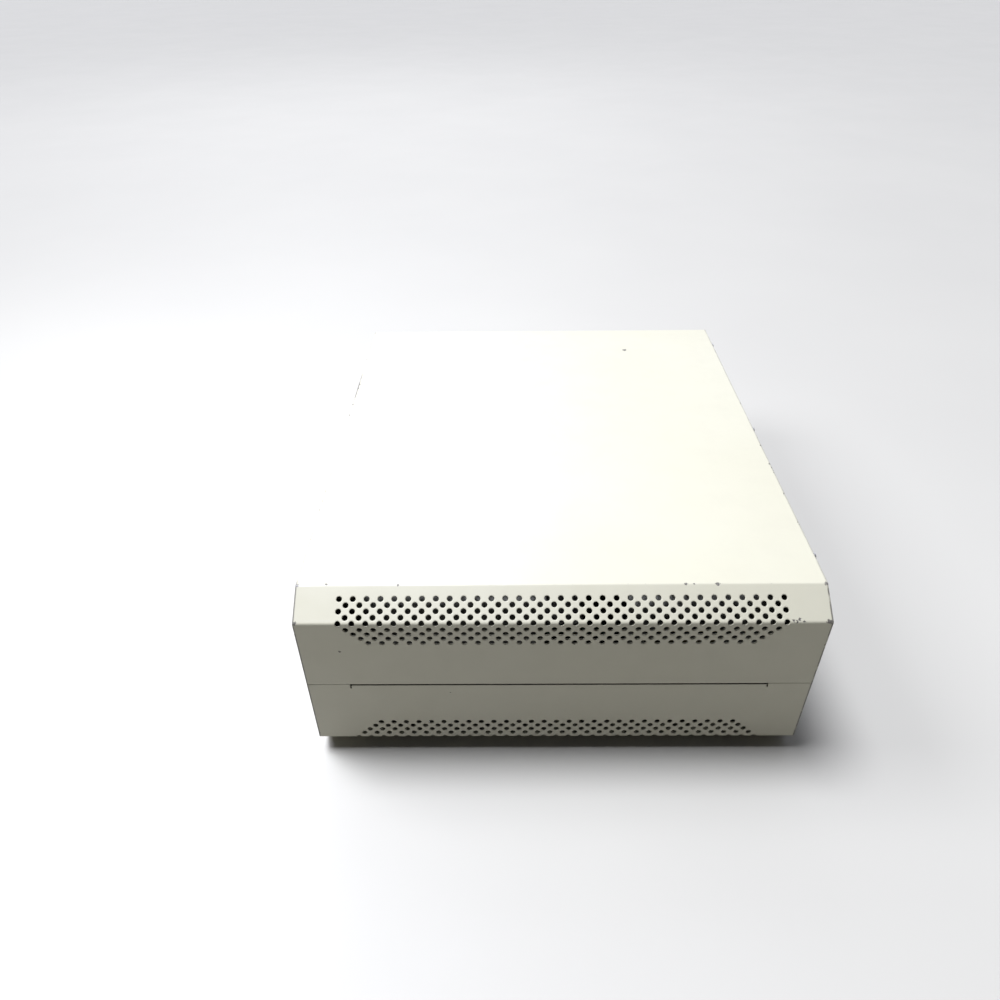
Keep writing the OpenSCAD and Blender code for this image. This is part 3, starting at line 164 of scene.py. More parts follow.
# Chips and scuffs in the cover's paint: place and radius
PAINT_MARKS = (
    ((0.0925, 0.163, 0.162), 2.2 * MM),
    ((-0.1925, 0.088, 0.162), 2.2 * MM),
    ((-0.1925, 0.080, 0.162), 2.0 * MM),
    ((-0.1925, 0.047, 0.162), 1.5 * MM),
    ((0.1925, -0.062, 0.162), 1.5 * MM),
    ((-0.170, -0.213, 0.162), 1.0 * MM),
    ((-0.118, -0.214, 0.162), 1.0 * MM),
    ((0.0905, -0.214, 0.162), 1.1 * MM),
    ((0.0965, -0.214, 0.162), 0.9 * MM),
    ((0.1135, -0.214, 0.162), 1.6 * MM),
    ((-0.162, -0.238, 0.118), 1.0 * MM),
    ((-0.083, -0.238, 0.071), 0.7 * MM),
    ((0.1645, -0.2374, 0.1478), 1.5 * MM),
    ((0.1672, -0.2378, 0.1470), 1.4 * MM),
    ((0.1692, -0.2366, 0.1484), 1.7 * MM),
    ((0.1718, -0.2378, 0.1474), 1.4 * MM),
    ((0.1742, -0.2370, 0.1484), 1.2 * MM),
    ((0.190, -0.238, 0.147), 2.2 * MM),
    ((-0.191, -0.238, 0.147), 1.8 * MM),
    ((0.1915, -0.214, 0.162), 1.6 * MM),
    ((-0.1915, -0.214, 0.162), 1.4 * MM),
)
# A stretch along the front edge of the panel where the dark cut-end line (worn paint and painted shade)
# shows strongly
EDGE_LINE_STRETCH = ((-0.1925, 0.084, 0.162), 26 * MM)


def cover_paint():
    """Warm off-white enamel on steel: slight yellowing, orange peel, worn edges and a few chips, a thin
    dark line at the cut ends that is partly painted shade, and a painted shadow in the seam.
    """
    s = Shader("cover_paint")
    x, y, z = s.axes()
    yellowing = s.varied(5, detail=4.0)
    grime = s.span(s.noise(38, 6.0, 0.65), 0.45, 0.8, 0.0, 0.5)
    colour = s.mix(yellowing, rgb(0.430, 0.415, 0.326), rgb(0.412, 0.396, 0.302))
    colour = s.mix(s.math("MULTIPLY", grime, 0.22), colour, rgb(0.30, 0.28, 0.23))

    # distance to the nearest bend line and to the cut ends of the sheet
    mid_z = s.math("ABSOLUTE", s.math("SUBTRACT", z, MID_Z))
    abs_y = s.math("ABSOLUTE", y)
    bends = []
    for bend_y, bend_z in (SIDE_BEND, TOP_BEND):
        dy = s.math("SUBTRACT", abs_y, bend_y)
        dz = s.math("SUBTRACT", mid_z, bend_z)
        square = s.math("ADD", s.math("MULTIPLY", dy, dy), s.math("MULTIPLY", dz, dz))
        bends.append(s.math("SQRT", square))
    bend = s.math("MINIMUM", *bends)
    end = s.math("SUBTRACT", HALF_X, s.math("ABSOLUTE", x))
    # the flanges folded in at the rear face along X and aren't edges
    geometry = s.add("ShaderNodeNewGeometry")
    facing = s.add("ShaderNodeSeparateXYZ", {"Vector": geometry.outputs["True Normal"]})
    end = s.math("ADD", end, s.span(s.math("ABSOLUTE", facing.outputs["X"]), 0.3, 0.7, 0.0, 10 * MM))
    edge = s.math("MINIMUM", s.math("ADD", bend, 1.2 * MM), end)
    near = s.span(edge, 0.0, SHEET_WEAR, 1.0, 0.0)
    rub = s.math("MULTIPLY", near, s.span(s.noise(70, 5.0, 0.7), 0.5, 0.68))
    chips = s.span(s.math("MULTIPLY", rub, s.span(s.noise(520, 3.0), 0.45, 0.62)), 0.25, 0.4)
    # painted shade and worn paint: the cut end of the sheet shows as a thin dark broken line that stands in
    # for the sheet's edge in shadow as well as bare metal, faint along the big flat panels
    at_end = s.span(end, 0.8 * MM, 1.3 * MM, 1.0, 0.0)
    bare = s.math("MULTIPLY", at_end, s.span(s.noise(55, 4.0, 0.7), 0.33, 0.5))
    shown = s.span(abs_y, TOP_BEND[0] - 6 * MM, TOP_BEND[0], 0.18, 0.85)
    edge_stretch = s.math("MULTIPLY", spot(s, *EDGE_LINE_STRETCH), 0.9)
    bare = s.math("MULTIPLY", bare, s.math("MAXIMUM", shown, edge_stretch))
    # from here the chip mask also holds the cut-end line, which is partly painted shade
    chips = s.math("MAXIMUM", chips, bare)
    for centre, radius in PAINT_MARKS:
        chips = s.math("MAXIMUM", chips, spot(s, centre, radius))
    primer = s.mix(s.noise(1500, 2.0), rgb(0.045, 0.040, 0.032), rgb(0.16, 0.15, 0.13))
    colour = s.mix(chips, colour, primer)
    # painted shadow: the top of the flange that backs the seam lies in the gap between the covers and is
    # darkened nearly to black
    off_flange = s.math("ABSOLUTE", s.math("SUBTRACT", z, SEAM_FLANGE_Z))
    on_flange = s.math("LESS_THAN", off_flange, 0.4 * MM)
    seam_shadow = s.math("MULTIPLY", on_flange, s.span(facing.outputs["Z"], 0.5, 0.8))
    colour = s.mix(s.math("MULTIPLY", seam_shadow, 0.9), colour, rgb(0.030, 0.026, 0.020))

    rough = s.math("ADD", s.varied(60, 0.36, 0.46, 4.0), s.math("MULTIPLY", grime, 0.12))
    peel = s.noise(850, 2.0)
    normal = s.bump(peel, PEEL_DEPTH, 0.55, s.soft_edge(1.1 * MM))
    normal = s.bump(s.math("SUBTRACT", 1.0, chips), CHIP_DEPTH, 0.8, normal)
    return s.finish(colour, rough, normal)


def foot_rubber():
    s = Shader("foot_rubber")
    dust = s.span(s.noise(120, 5.0, 0.7), 0.45, 0.75, 0.0, 0.5)
    colour = s.mix(dust, rgb(0.022, 0.022, 0.024), rgb(0.11, 0.105, 0.10))
    return s.finish(colour, s.varied(300, 0.72, 0.9), s.bump(s.noise(1800, 2.0), 0.05 * MM, 0.5))


def screw_steel():
    s = Shader("screw_steel", metallic=1.0)
    colour = s.mix(s.noise(700, 3.0), rgb(0.62, 0.62, 0.60), rgb(0.78, 0.77, 0.74))
    normal = s.bump(s.noise(2500, 2.0), 0.03 * MM, 0.4, s.soft_edge(0.15 * MM))
    return s.finish(colour, s.varied(1600, 0.22, 0.42, 2.0), normal)


def frame_zinc():
    """Galvanised sheet with a faint spangle, rolling marks and fingerprints."""
    s = Shader("frame_zinc", metallic=1.0)
    spangle = s.cells(120, "Color")
    tone = s.add("ShaderNodeSeparateColor", {"Color": spangle}).outputs["Red"]
    colour = s.mix(tone, rgb(0.27, 0.28, 0.29), rgb(0.38, 0.39, 0.40))
    stain = s.span(s.noise(14, 5.0, 0.6), 0.5, 0.75, 0.0, 0.45)
    colour = s.mix(stain, colour, rgb(0.23, 0.23, 0.22))
    rolled = s.noise(40, 4.0, place=s.stretched((1, 40, 40)))
    blend = s.math("ADD", s.math("MULTIPLY", tone, 0.5), s.math("MULTIPLY", rolled, 0.5))
    rough = s.span(blend, 0.2, 0.8, 0.14, 0.24)
    return s.finish(colour, rough, s.bump(rolled, 0.01 * MM, 0.4, s.soft_edge(0.25 * MM)))


def moulded(name, dark, light, rough_low, rough_high, grain=1400, depth=0.03):
    """Moulded plastic with a fine eroded grain and uneven handling marks."""
    s = Shader(name)
    handled = s.span(s.noise(26, 4.0, 0.6), 0.35, 0.7)
    colour = s.mix(handled, rgb(*dark), rgb(*light))
    normal = s.bump(s.noise(grain, 2.0, 0.6), depth * MM, 0.6, s.soft_edge(0.3 * MM))
    return s.finish(colour, s.varied(70, rough_low, rough_high), normal)


LAMP_SPLIT_Y = 27 * MM   # between the green lamp and the amber one


def lens():
    """The two lamps of the front: green for power, amber for the disk."""
    s = Shader("lens")
    s.feed(s.bsdf.inputs["Transmission Weight"], 0.55)
    y = s.axes()[1]
    amber = s.span(y, LAMP_SPLIT_Y - 0.5 * MM, LAMP_SPLIT_Y + 0.5 * MM)
    colour = s.mix(amber, rgb(0.16, 0.55, 0.20), rgb(0.75, 0.40, 0.08))
    colour = s.mix(s.varied(900, 0.0, 0.2), colour, rgb(0.8, 0.8, 0.75))
    return s.finish(colour, s.varied(500, 0.08, 0.2), s.bump(s.cells(1300), 0.05 * MM, 0.3))


def drive_metal():
    """Bare aluminium and plated steel with a brushed grain."""
    s = Shader("drive_metal", metallic=1.0)
    brushed = s.noise(60, 5.0, 0.7, place=s.stretched((1, 30, 30)))
    colour = s.mix(brushed, rgb(0.31, 0.32, 0.33), rgb(0.42, 0.42, 0.43))
    smudge = s.span(s.noise(20, 5.0), 0.52, 0.7, 0.0, 0.35)
    colour = s.mix(smudge, colour, rgb(0.27, 0.27, 0.26))
    rough = s.span(brushed, 0.25, 0.75, 0.14, 0.24)
    return s.finish(colour, rough, s.bump(brushed, 0.01 * MM, 0.4, s.soft_edge(0.2 * MM)))


def laminate(name, mask, copper, trace_scale=330, chips=None):
    """Circuit board: solder mask over a net of traces with small tinned vias.

    chips(shader) marks the chips that are part of the same mesh.
    """
    s = Shader(name)

    def net(place, gap, length, pitch):
        brick = s.add("ShaderNodeTexBrick", {"Vector": place, "Scale": trace_scale, "Mortar Size": gap,
                                             "Brick Width": length, "Row Height": pitch})
        return brick.outputs["Fac"]

    slanted = net(s.stretched((1, 1, 1), (0, 0, math.radians(45))), 0.07, 3.5, 0.5)
    straight = net(s.place, 0.06, 6.0, 0.45)
    zone = s.span(s.noise(28, 2.0), 0.47, 0.53)
    track = s.add("ShaderNodeMix", {"Factor": zone, "A": slanted, "B": straight},
                  data_type="FLOAT").outputs[0]
    colour = s.mix(track, rgb(*mask), rgb(*copper))
    via = s.span(s.cells(260), 0.1, 0.13, 1.0, 0.0)
    via = s.math("MULTIPLY", via, s.span(s.noise(45, 2.0), 0.5, 0.56))
    colour = s.mix(via, colour, rgb(0.55, 0.56, 0.52))
    relief = s.math("ADD", track, via)
    if chips:
        moulding = chips(s)
        black = s.mix(s.noise(300, 2.0), rgb(0.018, 0.018, 0.019), rgb(0.032, 0.032, 0.032))
        colour = s.mix(moulding, colour, black)
        relief = s.math("MULTIPLY", relief, s.math("SUBTRACT", 1.0, moulding))
    return s.finish(colour, s.varied(90, 0.3, 0.42), s.bump(relief, 0.04 * MM, 0.5))


def turned_metal(name, dark, light):
    """Small metal parts with fine tool marks and a little tarnish."""
    s = Shader(name, metallic=1.0)
    turned = s.noise(120, 3.0, place=s.stretched((1, 1, 40)))
    colour = s.mix(turned, rgb(*dark), rgb(*light))
    return s.finish(colour, s.span(turned, 0.3, 0.7, 0.24, 0.4), s.bump(turned, 0.02 * MM, 0.5))


def capacitor_sleeve():
    """Shrink sleeve with a pale stripe down one side and a bare top with its vent cross."""
    s = Shader("capacitor_sleeve")
    normal = s.add("ShaderNodeNewGeometry").outputs["Normal"]
    parts = s.add("ShaderNodeSeparateXYZ", {"Vector": normal})
    stripe = s.span(parts.outputs["X"], 0.86, 0.9)
    top = s.span(parts.outputs["Z"], 0.8, 0.9)
    sleeve = s.mix(s.noise(200), rgb(0.020, 0.026, 0.085), rgb(0.035, 0.042, 0.13))
    colour = s.mix(stripe, sleeve, rgb(0.55, 0.56, 0.58))
    colour = s.mix(top, colour, rgb(0.62, 0.62, 0.62))
    return s.finish(colour, s.varied(400, 0.22, 0.36), s.bump(s.noise(900), 0.03 * MM, 0.4), top)


def ribbon_grey():
    """Flat cable with the fine ribs of its conductors, and painted shade in the grooves between them."""
    s = Shader("ribbon_grey")
    ribs = s.add("ShaderNodeTexWave", {"Vector": s.place, "Scale": 250.0, "Distortion": 0.0},
                 wave_type="BANDS", bands_direction="DIAGONAL").outputs["Fac"]
    colour = s.mix(s.varied(40), rgb(0.36, 0.37, 0.40), rgb(0.44, 0.45, 0.48))
    # painted shade: the grooves between the conductors' ribs are darkened
    colour = s.mix(s.span(ribs, 0.0, 0.25, 0.35, 0.0), colour, rgb(0.2, 0.2, 0.22))
    return s.finish(colour, s.varied(300, 0.42, 0.55), s.bump(ribs, 0.15 * MM, 0.6))


def wire(name, colour):
    """Soft insulation, unevenly dark."""
    s = Shader(name)
    tone = s.mix(s.noise(180), rgb(*colour), rgb(*[0.75 * c for c in colour]))
    return s.finish(tone, s.varied(400, 0.36, 0.5), s.bump(s.noise(1500), 0.02 * MM, 0.4))


MASK_GREEN = ((0.008, 0.105, 0.042), (0.02, 0.20, 0.085))
SLOT_MATERIALS = {
    "cover_paint": cover_paint(),
    "foot_rubber": foot_rubber(),
    "screw_steel": screw_steel(),
    "frame_zinc": frame_zinc(),
    "bezel_plastic": moulded("bezel_plastic", (0.45, 0.42, 0.335), (0.48, 0.455, 0.37), 0.42, 0.56),
    "lens": lens(),
    "black_plastic": moulded("black_plastic", (0.016, 0.016, 0.018), (0.028, 0.028, 0.03), 0.4, 0.56),
    "rotor_plastic": moulded("rotor_plastic", (0.02, 0.02, 0.022), (0.034, 0.034, 0.036), 0.28, 0.42),
    "drive_metal": drive_metal(),
    "board_green": laminate("board_green", *MASK_GREEN),
    "brass_standoff": turned_metal("brass_standoff", (0.58, 0.42, 0.17), (0.72, 0.56, 0.28)),
    "socket_plastic": moulded("socket_plastic", (0.62, 0.60, 0.52), (0.70, 0.68, 0.60), 0.4, 0.52),
    "chip_black": moulded("chip_black", (0.018, 0.018, 0.019), (0.03, 0.03, 0.03), 0.45, 0.6),
    "capacitor_sleeve": capacitor_sleeve(),
    "connector_blue": moulded("connector_blue", (0.02, 0.05, 0.26), (0.03, 0.07, 0.33), 0.38, 0.5),
    "supply_board": laminate("supply_board", (0.34, 0.22, 0.07), (0.42, 0.30, 0.12), 120),
    "ribbon_grey": ribbon_grey(),
    "wire_sleeve": wire("wire_sleeve", (0.03, 0.03, 0.032)),
}


def off_plane(axis, planes, thick):
    """Marks what stands more than thick off a board's middle plane. The planes lie across the axis."""
    def mark(s):
        place = s.axes()["XYZ".index(axis)]
        gaps = [s.math("ABSOLUTE", s.math("SUBTRACT", place, plane * MM)) for plane in planes]
        nearest = gaps[0]
        for gap in gaps[1:]:
            nearest = s.math("MINIMUM", nearest, gap)
        return s.math("GREATER_THAN", nearest, thick * MM)
    return mark


SUPPLY_SOCKET_FROM_X = 50 * MM
HEADER_FROM_Y = 100 * MM


def connector_plastic():
    """Blue drive sockets, an ivory supply socket and a black header."""
    s = Shader("connector_plastic")
    x, y = s.axes()[:2]
    colour = s.mix(s.noise(60), rgb(0.02, 0.05, 0.26), rgb(0.03, 0.07, 0.33))
    colour = s.mix(s.math("GREATER_THAN", x, SUPPLY_SOCKET_FROM_X), colour, rgb(0.62, 0.60, 0.52))
    colour = s.mix(s.math("GREATER_THAN", y, HEADER_FROM_Y), colour, rgb(0.02, 0.02, 0.022))
    return s.finish(colour, s.varied(70, 0.38, 0.52), s.bump(s.noise(1400), 0.03 * MM, 0.5))


# Middle planes of the boards that stand on edge, in millimetres
CARD_Y = 52
MODULE_X = (36, 47)
DISK_BOARD_Y = -62.5
NODE_MATERIALS = {
    "memory_modules": laminate("module_board", *MASK_GREEN, chips=off_plane("X", MODULE_X, 0.75)),
    "video_card": laminate("card_board", *MASK_GREEN, chips=off_plane("Y", (CARD_Y,), 0.9)),
    "hard_drive_board": laminate("disk_board", *MASK_GREEN, chips=off_plane("Y", (DISK_BOARD_Y,), 0.85)),
    "board_connectors": connector_plastic(),
}


def dress_frame():
    """Gives every CAD node its own material, or that of its slot."""
    for part in frame["record"]["subparts"]:
        data = NODES[part["node"]].data
        material = NODE_MATERIALS.get(part["node"], SLOT_MATERIALS[part["material_slot"]])
        if not data.materials:
            data.materials.append(material)
        for i in range(len(data.materials)):
            data.materials[i] = material


dress_frame()

# ---------------------------------------------------------------- helpers for the detail pieces

PIECE_MATERIALS = {
    "steel_pins": turned_metal("steel_pins", (0.62, 0.62, 0.60), (0.78, 0.78, 0.75)),
    "gold_pins": turned_metal("gold_pins", (0.70, 0.50, 0.20), (0.86, 0.66, 0.32)),
    "copper_wire": turned_metal("copper_wire", (0.52, 0.20, 0.08), (0.66, 0.30, 0.14)),
    "ferrite": moulded("ferrite", (0.035, 0.035, 0.04), (0.06, 0.06, 0.065), 0.55, 0.7),
    "ceramic": moulded("ceramic", (0.40, 0.33, 0.25), (0.50, 0.42, 0.33), 0.4, 0.55),
    "nylon": moulded("nylon", (0.60, 0.59, 0.53), (0.68, 0.67, 0.61), 0.36, 0.5),
    "purple": moulded("purple_plastic", (0.16, 0.06, 0.30), (0.20, 0.08, 0.36), 0.38, 0.5),
    "green": moulded("green_plastic", (0.05, 0.30, 0.12), (0.08, 0.38, 0.16), 0.38, 0.5),
    "pink": moulded("pink_plastic", (0.50, 0.10, 0.20), (0.58, 0.14, 0.26), 0.38, 0.5),
    "teal": moulded("teal_plastic", (0.03, 0.22, 0.24), (0.05, 0.28, 0.30), 0.38, 0.5),
    "blue": moulded("blue_plastic", (0.03, 0.07, 0.34), (0.05, 0.10, 0.42), 0.38, 0.5),
    "ochre": moulded("ochre_plastic", (0.46, 0.28, 0.06), (0.54, 0.34, 0.09), 0.38, 0.5),
    "paper": moulded("paper", (0.54, 0.54, 0.51), (0.62, 0.62, 0.59), 0.5, 0.7, 700, 0.01),
}
WIRE_MATERIALS = {
    "black": wire("black_wire", (0.020, 0.020, 0.022)),
    "red": wire("red_wire", (0.42, 0.018, 0.014)),
    "orange": wire("orange_wire", (0.56, 0.17, 0.02)),
    "yellow": wire("yellow_wire", (0.60, 0.42, 0.03)),
    "green": wire("green_wire", (0.03, 0.20, 0.05)),
    "blue": wire("blue_wire", (0.03, 0.06, 0.32)),
    "grey": wire("grey_wire", (0.20, 0.20, 0.21)),
    "white": wire("white_wire", (0.56, 0.56, 0.53)),
}


def add_piece(obj, body="case"):
    bpy.context.scene.collection.objects.link(obj)
    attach(obj, body)
    return obj


class Builder:
    """Collects solids in one mesh, in millimetres, and turns them into a piece."""

    def __init__(self):
        self.bm = bmesh.new()

    def box(self, low, high, bevel=0.0):
        made = bmesh.ops.create_cube(self.bm, size=1.0)["verts"]
        bmesh.ops.scale(self.bm, vec=[b - a for a, b in zip(low, high)], verts=made)
        bmesh.ops.translate(self.bm, vec=[(a + b) / 2 for a, b in zip(low, high)], verts=made)
        if bevel:
            edges = list({edge for vert in made for edge in vert.link_edges})
            bmesh.ops.bevel(self.bm, geom=edges, offset=bevel, segments=2, affect="EDGES", profile=0.6)

    def rod(self, start, radius, length, sides=12, end_radius=None):
        """A rod, or a cone, that runs from its start along +X."""
        turn = Matrix.Rotation(math.pi / 2, 4, "Y")
        place = Matrix.Translation(Vector(start) + Vector((length / 2, 0, 0))) @ turn
        far_radius = radius if end_radius is None else end_radius
        bmesh.ops.create_cone(self.bm, cap_ends=True, segments=sides, radius1=radius,
                              radius2=far_radius, depth=length, matrix=place)

    def lathe(self, place, outline, sides=24, hollow=False):
        """Turns an outline of (radius, height) points about the Z axis of a placement."""
        turns = [2 * math.pi * k / sides for k in range(sides)]
        rings = [[self.bm.verts.new(place @ Vector((radius * math.cos(a), radius * math.sin(a), height)))
                  for a in turns] for radius, height in outline]
        pairs = list(zip(rings, rings[1:])) + ([(rings[-1], rings[0])] if hollow else [])
        for low, high in pairs:
            for k in range(sides):
                nxt = (k + 1) % sides
                self.bm.faces.new((low[k], low[nxt], high[nxt], high[k]))
        if not hollow:
            self.bm.faces.new(reversed(rings[0]))
            self.bm.faces.new(rings[-1])

    def prism_x(self, outline, x0, x1):
        """Extrudes a (y, z) outline along X."""
        ends = [[self.bm.verts.new((x, y, z)) for y, z in outline] for x in (x0, x1)]
        for k in range(len(outline)):
            nxt = (k + 1) % len(outline)
            self.bm.faces.new((ends[0][k], ends[0][nxt], ends[1][nxt], ends[1][k]))
        self.bm.faces.new(reversed(ends[0]))
        self.bm.faces.new(ends[1])

    def piece(self, name, material, slot, smooth=True):
        bmesh.ops.recalc_face_normals(self.bm, faces=self.bm.faces)
        bmesh.ops.scale(self.bm, vec=(MM, MM, MM), verts=self.bm.verts)
        mesh = bpy.data.meshes.new(name)
        self.bm.to_mesh(mesh)
        self.bm.free()
        if smooth:
            mesh.shade_smooth()
            mesh.set_sharp_from_angle(angle=math.radians(35))
        mesh.materials.append(PIECE_MATERIALS.get(material) or SLOT_MATERIALS[material])
        return add_piece(bpy.data.objects.new(name, mesh))


def wires(name, lines, colours, radius, closed=False):
    """One curve object: a round wire of a colour along each line of points, in millimetres."""
    curve = bpy.data.curves.new(name, "CURVE")
    curve.dimensions = "3D"
    curve.bevel_depth = radius * MM
    curve.bevel_resolution = 1
    curve.use_fill_caps = True
    used = list(dict.fromkeys(colours))
    for colour in used:
        curve.materials.append(WIRE_MATERIALS.get(colour) or PIECE_MATERIALS[colour])
    for line, colour in zip(lines, colours):
        spline = curve.splines.new("POLY")
        spline.points.add(len(line) - 1)
        for point, place in zip(spline.points, line):
            point.co = [c * MM for c in place] + [1.0]
        spline.use_cyclic_u = closed
        spline.use_smooth = True
        spline.material_index = used.index(colour)
    return add_piece(bpy.data.objects.new(name, curve))


# ---------------------------------------------------------------- sockets in the rear

PORT_BACK = 190.7       # how far the board's sockets reach to the rear
SOCKET_HALF_H = 3.1
# name, colour, middle y and z, half width, contacts in each row, their pitch, plug rather than socket
D_SOCKETS = (
    ("parallel_insert", "pink", -49.0, 37.05, 23.0, (12, 13), 3.3, False),
    ("serial_insert_a", "teal", -64.4, 22.8, 7.6, (4, 5), 2.9, True),
    ("serial_insert_b", "teal", -33.6, 22.8, 7.6, (4, 5), 2.9, True),
    ("game_insert", "ochre", 6.0, 37.3, 13.0, (7, 8), 3.0, False),
)
ROUND_SOCKETS_Y = -107.7
ROUND_SOCKETS = (("keyboard_insert", "purple", 23.8), ("mouse_insert", "green", 36.8))
AUDIO_Z = 23.3
AUDIO_SOCKETS = (("audio_out", "green", -7), ("audio_in", "blue", 6), ("audio_mic", "pink", 19))
USB_Z = (21.3, 29.3)
INLET_BLADES = ((-160, 117), (-164, 124), (-160, 131))


def d_outline(y, z, half):
    low, high = half - 0.5, half + 0.8
    return [(y - low, z - SOCKET_HALF_H), (y + low, z - SOCKET_HALF_H),
            (y + high, z + SOCKET_HALF_H), (y - high, z + SOCKET_HALF_H)]


def rear_sockets():
    """Coloured inserts, contacts and nuts of the sockets behind the rear panel."""
    gold, nuts = Builder(), Builder()
    for name, colour, y, z, half, rows, pitch, plug in D_SOCKETS:
        face = PORT_BACK - (5.2 if plug else 1.6)
        insert = Builder()
        insert.prism_x(d_outline(y, z, half), PORT_BACK - 5.95, face)
        insert.piece(name, colour, "connector_blue", smooth=False)
        for row, count in enumerate(rows):
            for k in range(count):
                place = (face - 0.5, y + (k - (count - 1) / 2) * pitch, z + 2.8 * row - 1.4)
                gold.rod(place, 0.5, 4.2 if plug else 0.62, sides=8)
        for side in (-1, 1):
            at = y + side * (half + 4.2)
            nuts.rod((PORT_BACK - 0.4, at, z), 2.3, 1.2, sides=6)
            nuts.rod((PORT_BACK + 0.8, at, z), 1.5, 0.35, sides=16, end_radius=1.2)

    video = Builder()
    video.box((184.0, CARD_Y - 3.1, 57.0), (188.8, CARD_Y + 3.1, 79.0), 0.5)
    video.piece("video_insert", "blue", "connector_blue")
    for row in range(3):
        for k in range(5):
            stagger = 0.5 * (row == 1)
            gold.rod((188.4, CARD_Y - 2 + 2 * row, 63.4 + 2.3 * k + stagger), 0.45, 0.55, sides=8)

    turn = Matrix.Rotation(math.pi / 2, 4, "Y")
    for name, colour, z in ROUND_SOCKETS:
        insert = Builder()
        insert.lathe(Matrix.Translation((183.0, ROUND_SOCKETS_Y, z)) @ turn,
                     [(4.5, 0), (4.5, 5.2), (4.2, 5.5), (1.0, 5.5)])
        insert.piece(name, colour, "connector_blue")
        for k in range(6):
            angle = math.radians(30 + 48 * k)
            place = (188.2, ROUND_SOCKETS_Y + 2.6 * math.cos(angle), z + 2.6 * math.sin(angle))
            gold.rod(place, 0.4, 0.5, sides=8)
    for name, colour, y in AUDIO_SOCKETS:
        collar = Builder()
        collar.lathe(Matrix.Translation((PORT_BACK - 0.2, y, AUDIO_Z)) @ turn,
                     [(1.9, 0), (3.9, 0), (3.9, 0.75), (3.65, 1.0), (2.15, 1.0), (1.9, 0.75)], hollow=True)
        collar.piece(name, colour, "connector_blue")

    tongues = Builder()
    for z in USB_Z:
        tongues.box((179.0, -94.8, z - 1.9), (189.4, -84.2, z - 0.2), 0.3)
        for k in range(4):
            gold.box((181.0, -93.4 + 2.3 * k, z - 0.22), (189.0, -92.4 + 2.3 * k, z - 0.05))
    tongues.piece("usb_tongues", "nylon", "socket_plastic")
    for k in range(8):   # the network socket above
        gold.box((180.0, -93.6 + 1.1 * k, 44.0), (188.4, -93.1 + 1.1 * k, 44.3))
    gold.piece("socket_contacts", "gold_pins", "brass_standoff")
    nuts.piece("socket_nuts", "steel_pins", "screw_steel")

    blades = Builder()
    for y, z in INLET_BLADES:
        blades.box((173.9, y - 2.15, z - 1.15), (182.9, y + 2.15, z + 1.15), 0.35)
    blades.piece("inlet_blades", "steel_pins", "screw_steel")


# ---------------------------------------------------------------- wiring


def smooth_line(points, steps=6):
    """A smooth line through the points."""
    points = [Vector(p) for p in points]
    line = []
    for i in range(len(points) - 1):
        p0, p1, p2 = points[max(i - 1, 0)], points[i], points[i + 1]
        p3 = points[min(i + 2, len(points) - 1)]
        for k in range(steps):
            t = k / steps
            line.append(0.5 * (2 * p1 + (p2 - p0) * t + (2 * p0 - 5 * p1 + 4 * p2 - p3) * t ** 2
                               + (3 * p1 - p0 - 3 * p2 + p3) * t ** 3))
    return line + [points[-1]]


def loom(name, path, rings, colours, radius, ends, fan, twist=2.2):
    """Wires that run side by side along a path, in rings of (count, radius).

    Over the last stretch, as long as fan, they spread to their own ends around the path's end.
    """
    line = smooth_line(path)
    side = None
    lines = [[] for _ in colours]
    places = [(ring_r, 2 * math.pi * k / count) for count, ring_r in rings for k in range(count)]
    left = [0.0]
    for a, b in zip(reversed(line), list(reversed(line))[1:]):
        left.append(left[-1] + (a - b).length)
    left.reverse()
    for i, centre in enumerate(line):
        along = (line[min(i + 1, len(line) - 1)] - line[max(i - 1, 0)]).normalized()
        side = along.orthogonal() if side is None else side - along * side.dot(along)
        side.normalize()
        up = along.cross(side)
        spread = max(0.0, 1.0 - left[i] / fan)
        spread = spread * spread * (3 - 2 * spread)
        for k, (ring_r, angle) in enumerate(places):
            angle += twist * i / len(line)
            bundled = centre + ring_r * (math.cos(angle) * side + math.sin(angle) * up)
            lines[k].append(bundled.lerp(centre + Vector(ends[k]), spread))
    return wires(name, lines, colours, radius)


# Paths of the cables, in millimetres, from where they start to their plugs
BOARD_CABLE = ((47, -150, 120), (40, -146, 116), (36, -134, 98), (42, -122, 74), (62, -119, 54),
               (86, -116, 50), (96, -114, 45), (96, -114, 36.4))
DISK_CABLE = ((47, -165, 138), (38, -164, 148), (20, -152, 152), (8, -124, 152), (-2, -92, 150),
              (-12, -76, 145), (-22, -74, 143.5), (-27.4, -74, 143.5))
OPTICAL_CABLE = ((47, -195, 30), (34, -196, 28), (14, -193, 28), (0, -194.7, 30), (-4.4, -194.7, 30))
CONTROL_LEADS = ((-172, 34, 95.8), (-172, 36, 70), (-166, 56, 36), (-150, 92, 16), (-110, 130, 14),
                 (-74, 143, 20), (-52, 145, 34), (-45, 145, 36), (-45, 145, 29.4))
# name, path, and the middle of the plug's back on the drive
DRIVE_LOOMS = (("disk_loom", DISK_CABLE, (-33, -74, 143.5)),
               ("optical_loom", OPTICAL_CABLE, (-10, -194.7, 30)))
SUPPLY_COLOURS = ("orange", "orange", "black", "red", "black", "red", "black", "grey", "green", "yellow",
                  "yellow", "orange", "orange", "blue", "black", "white", "black", "black", "black",
                  "white", "red", "red", "red", "black")
DRIVE_COLOURS = ("yellow", "black", "black", "red")
LEAD_COLOURS = ("red", "black", "orange", "black", "green", "white")


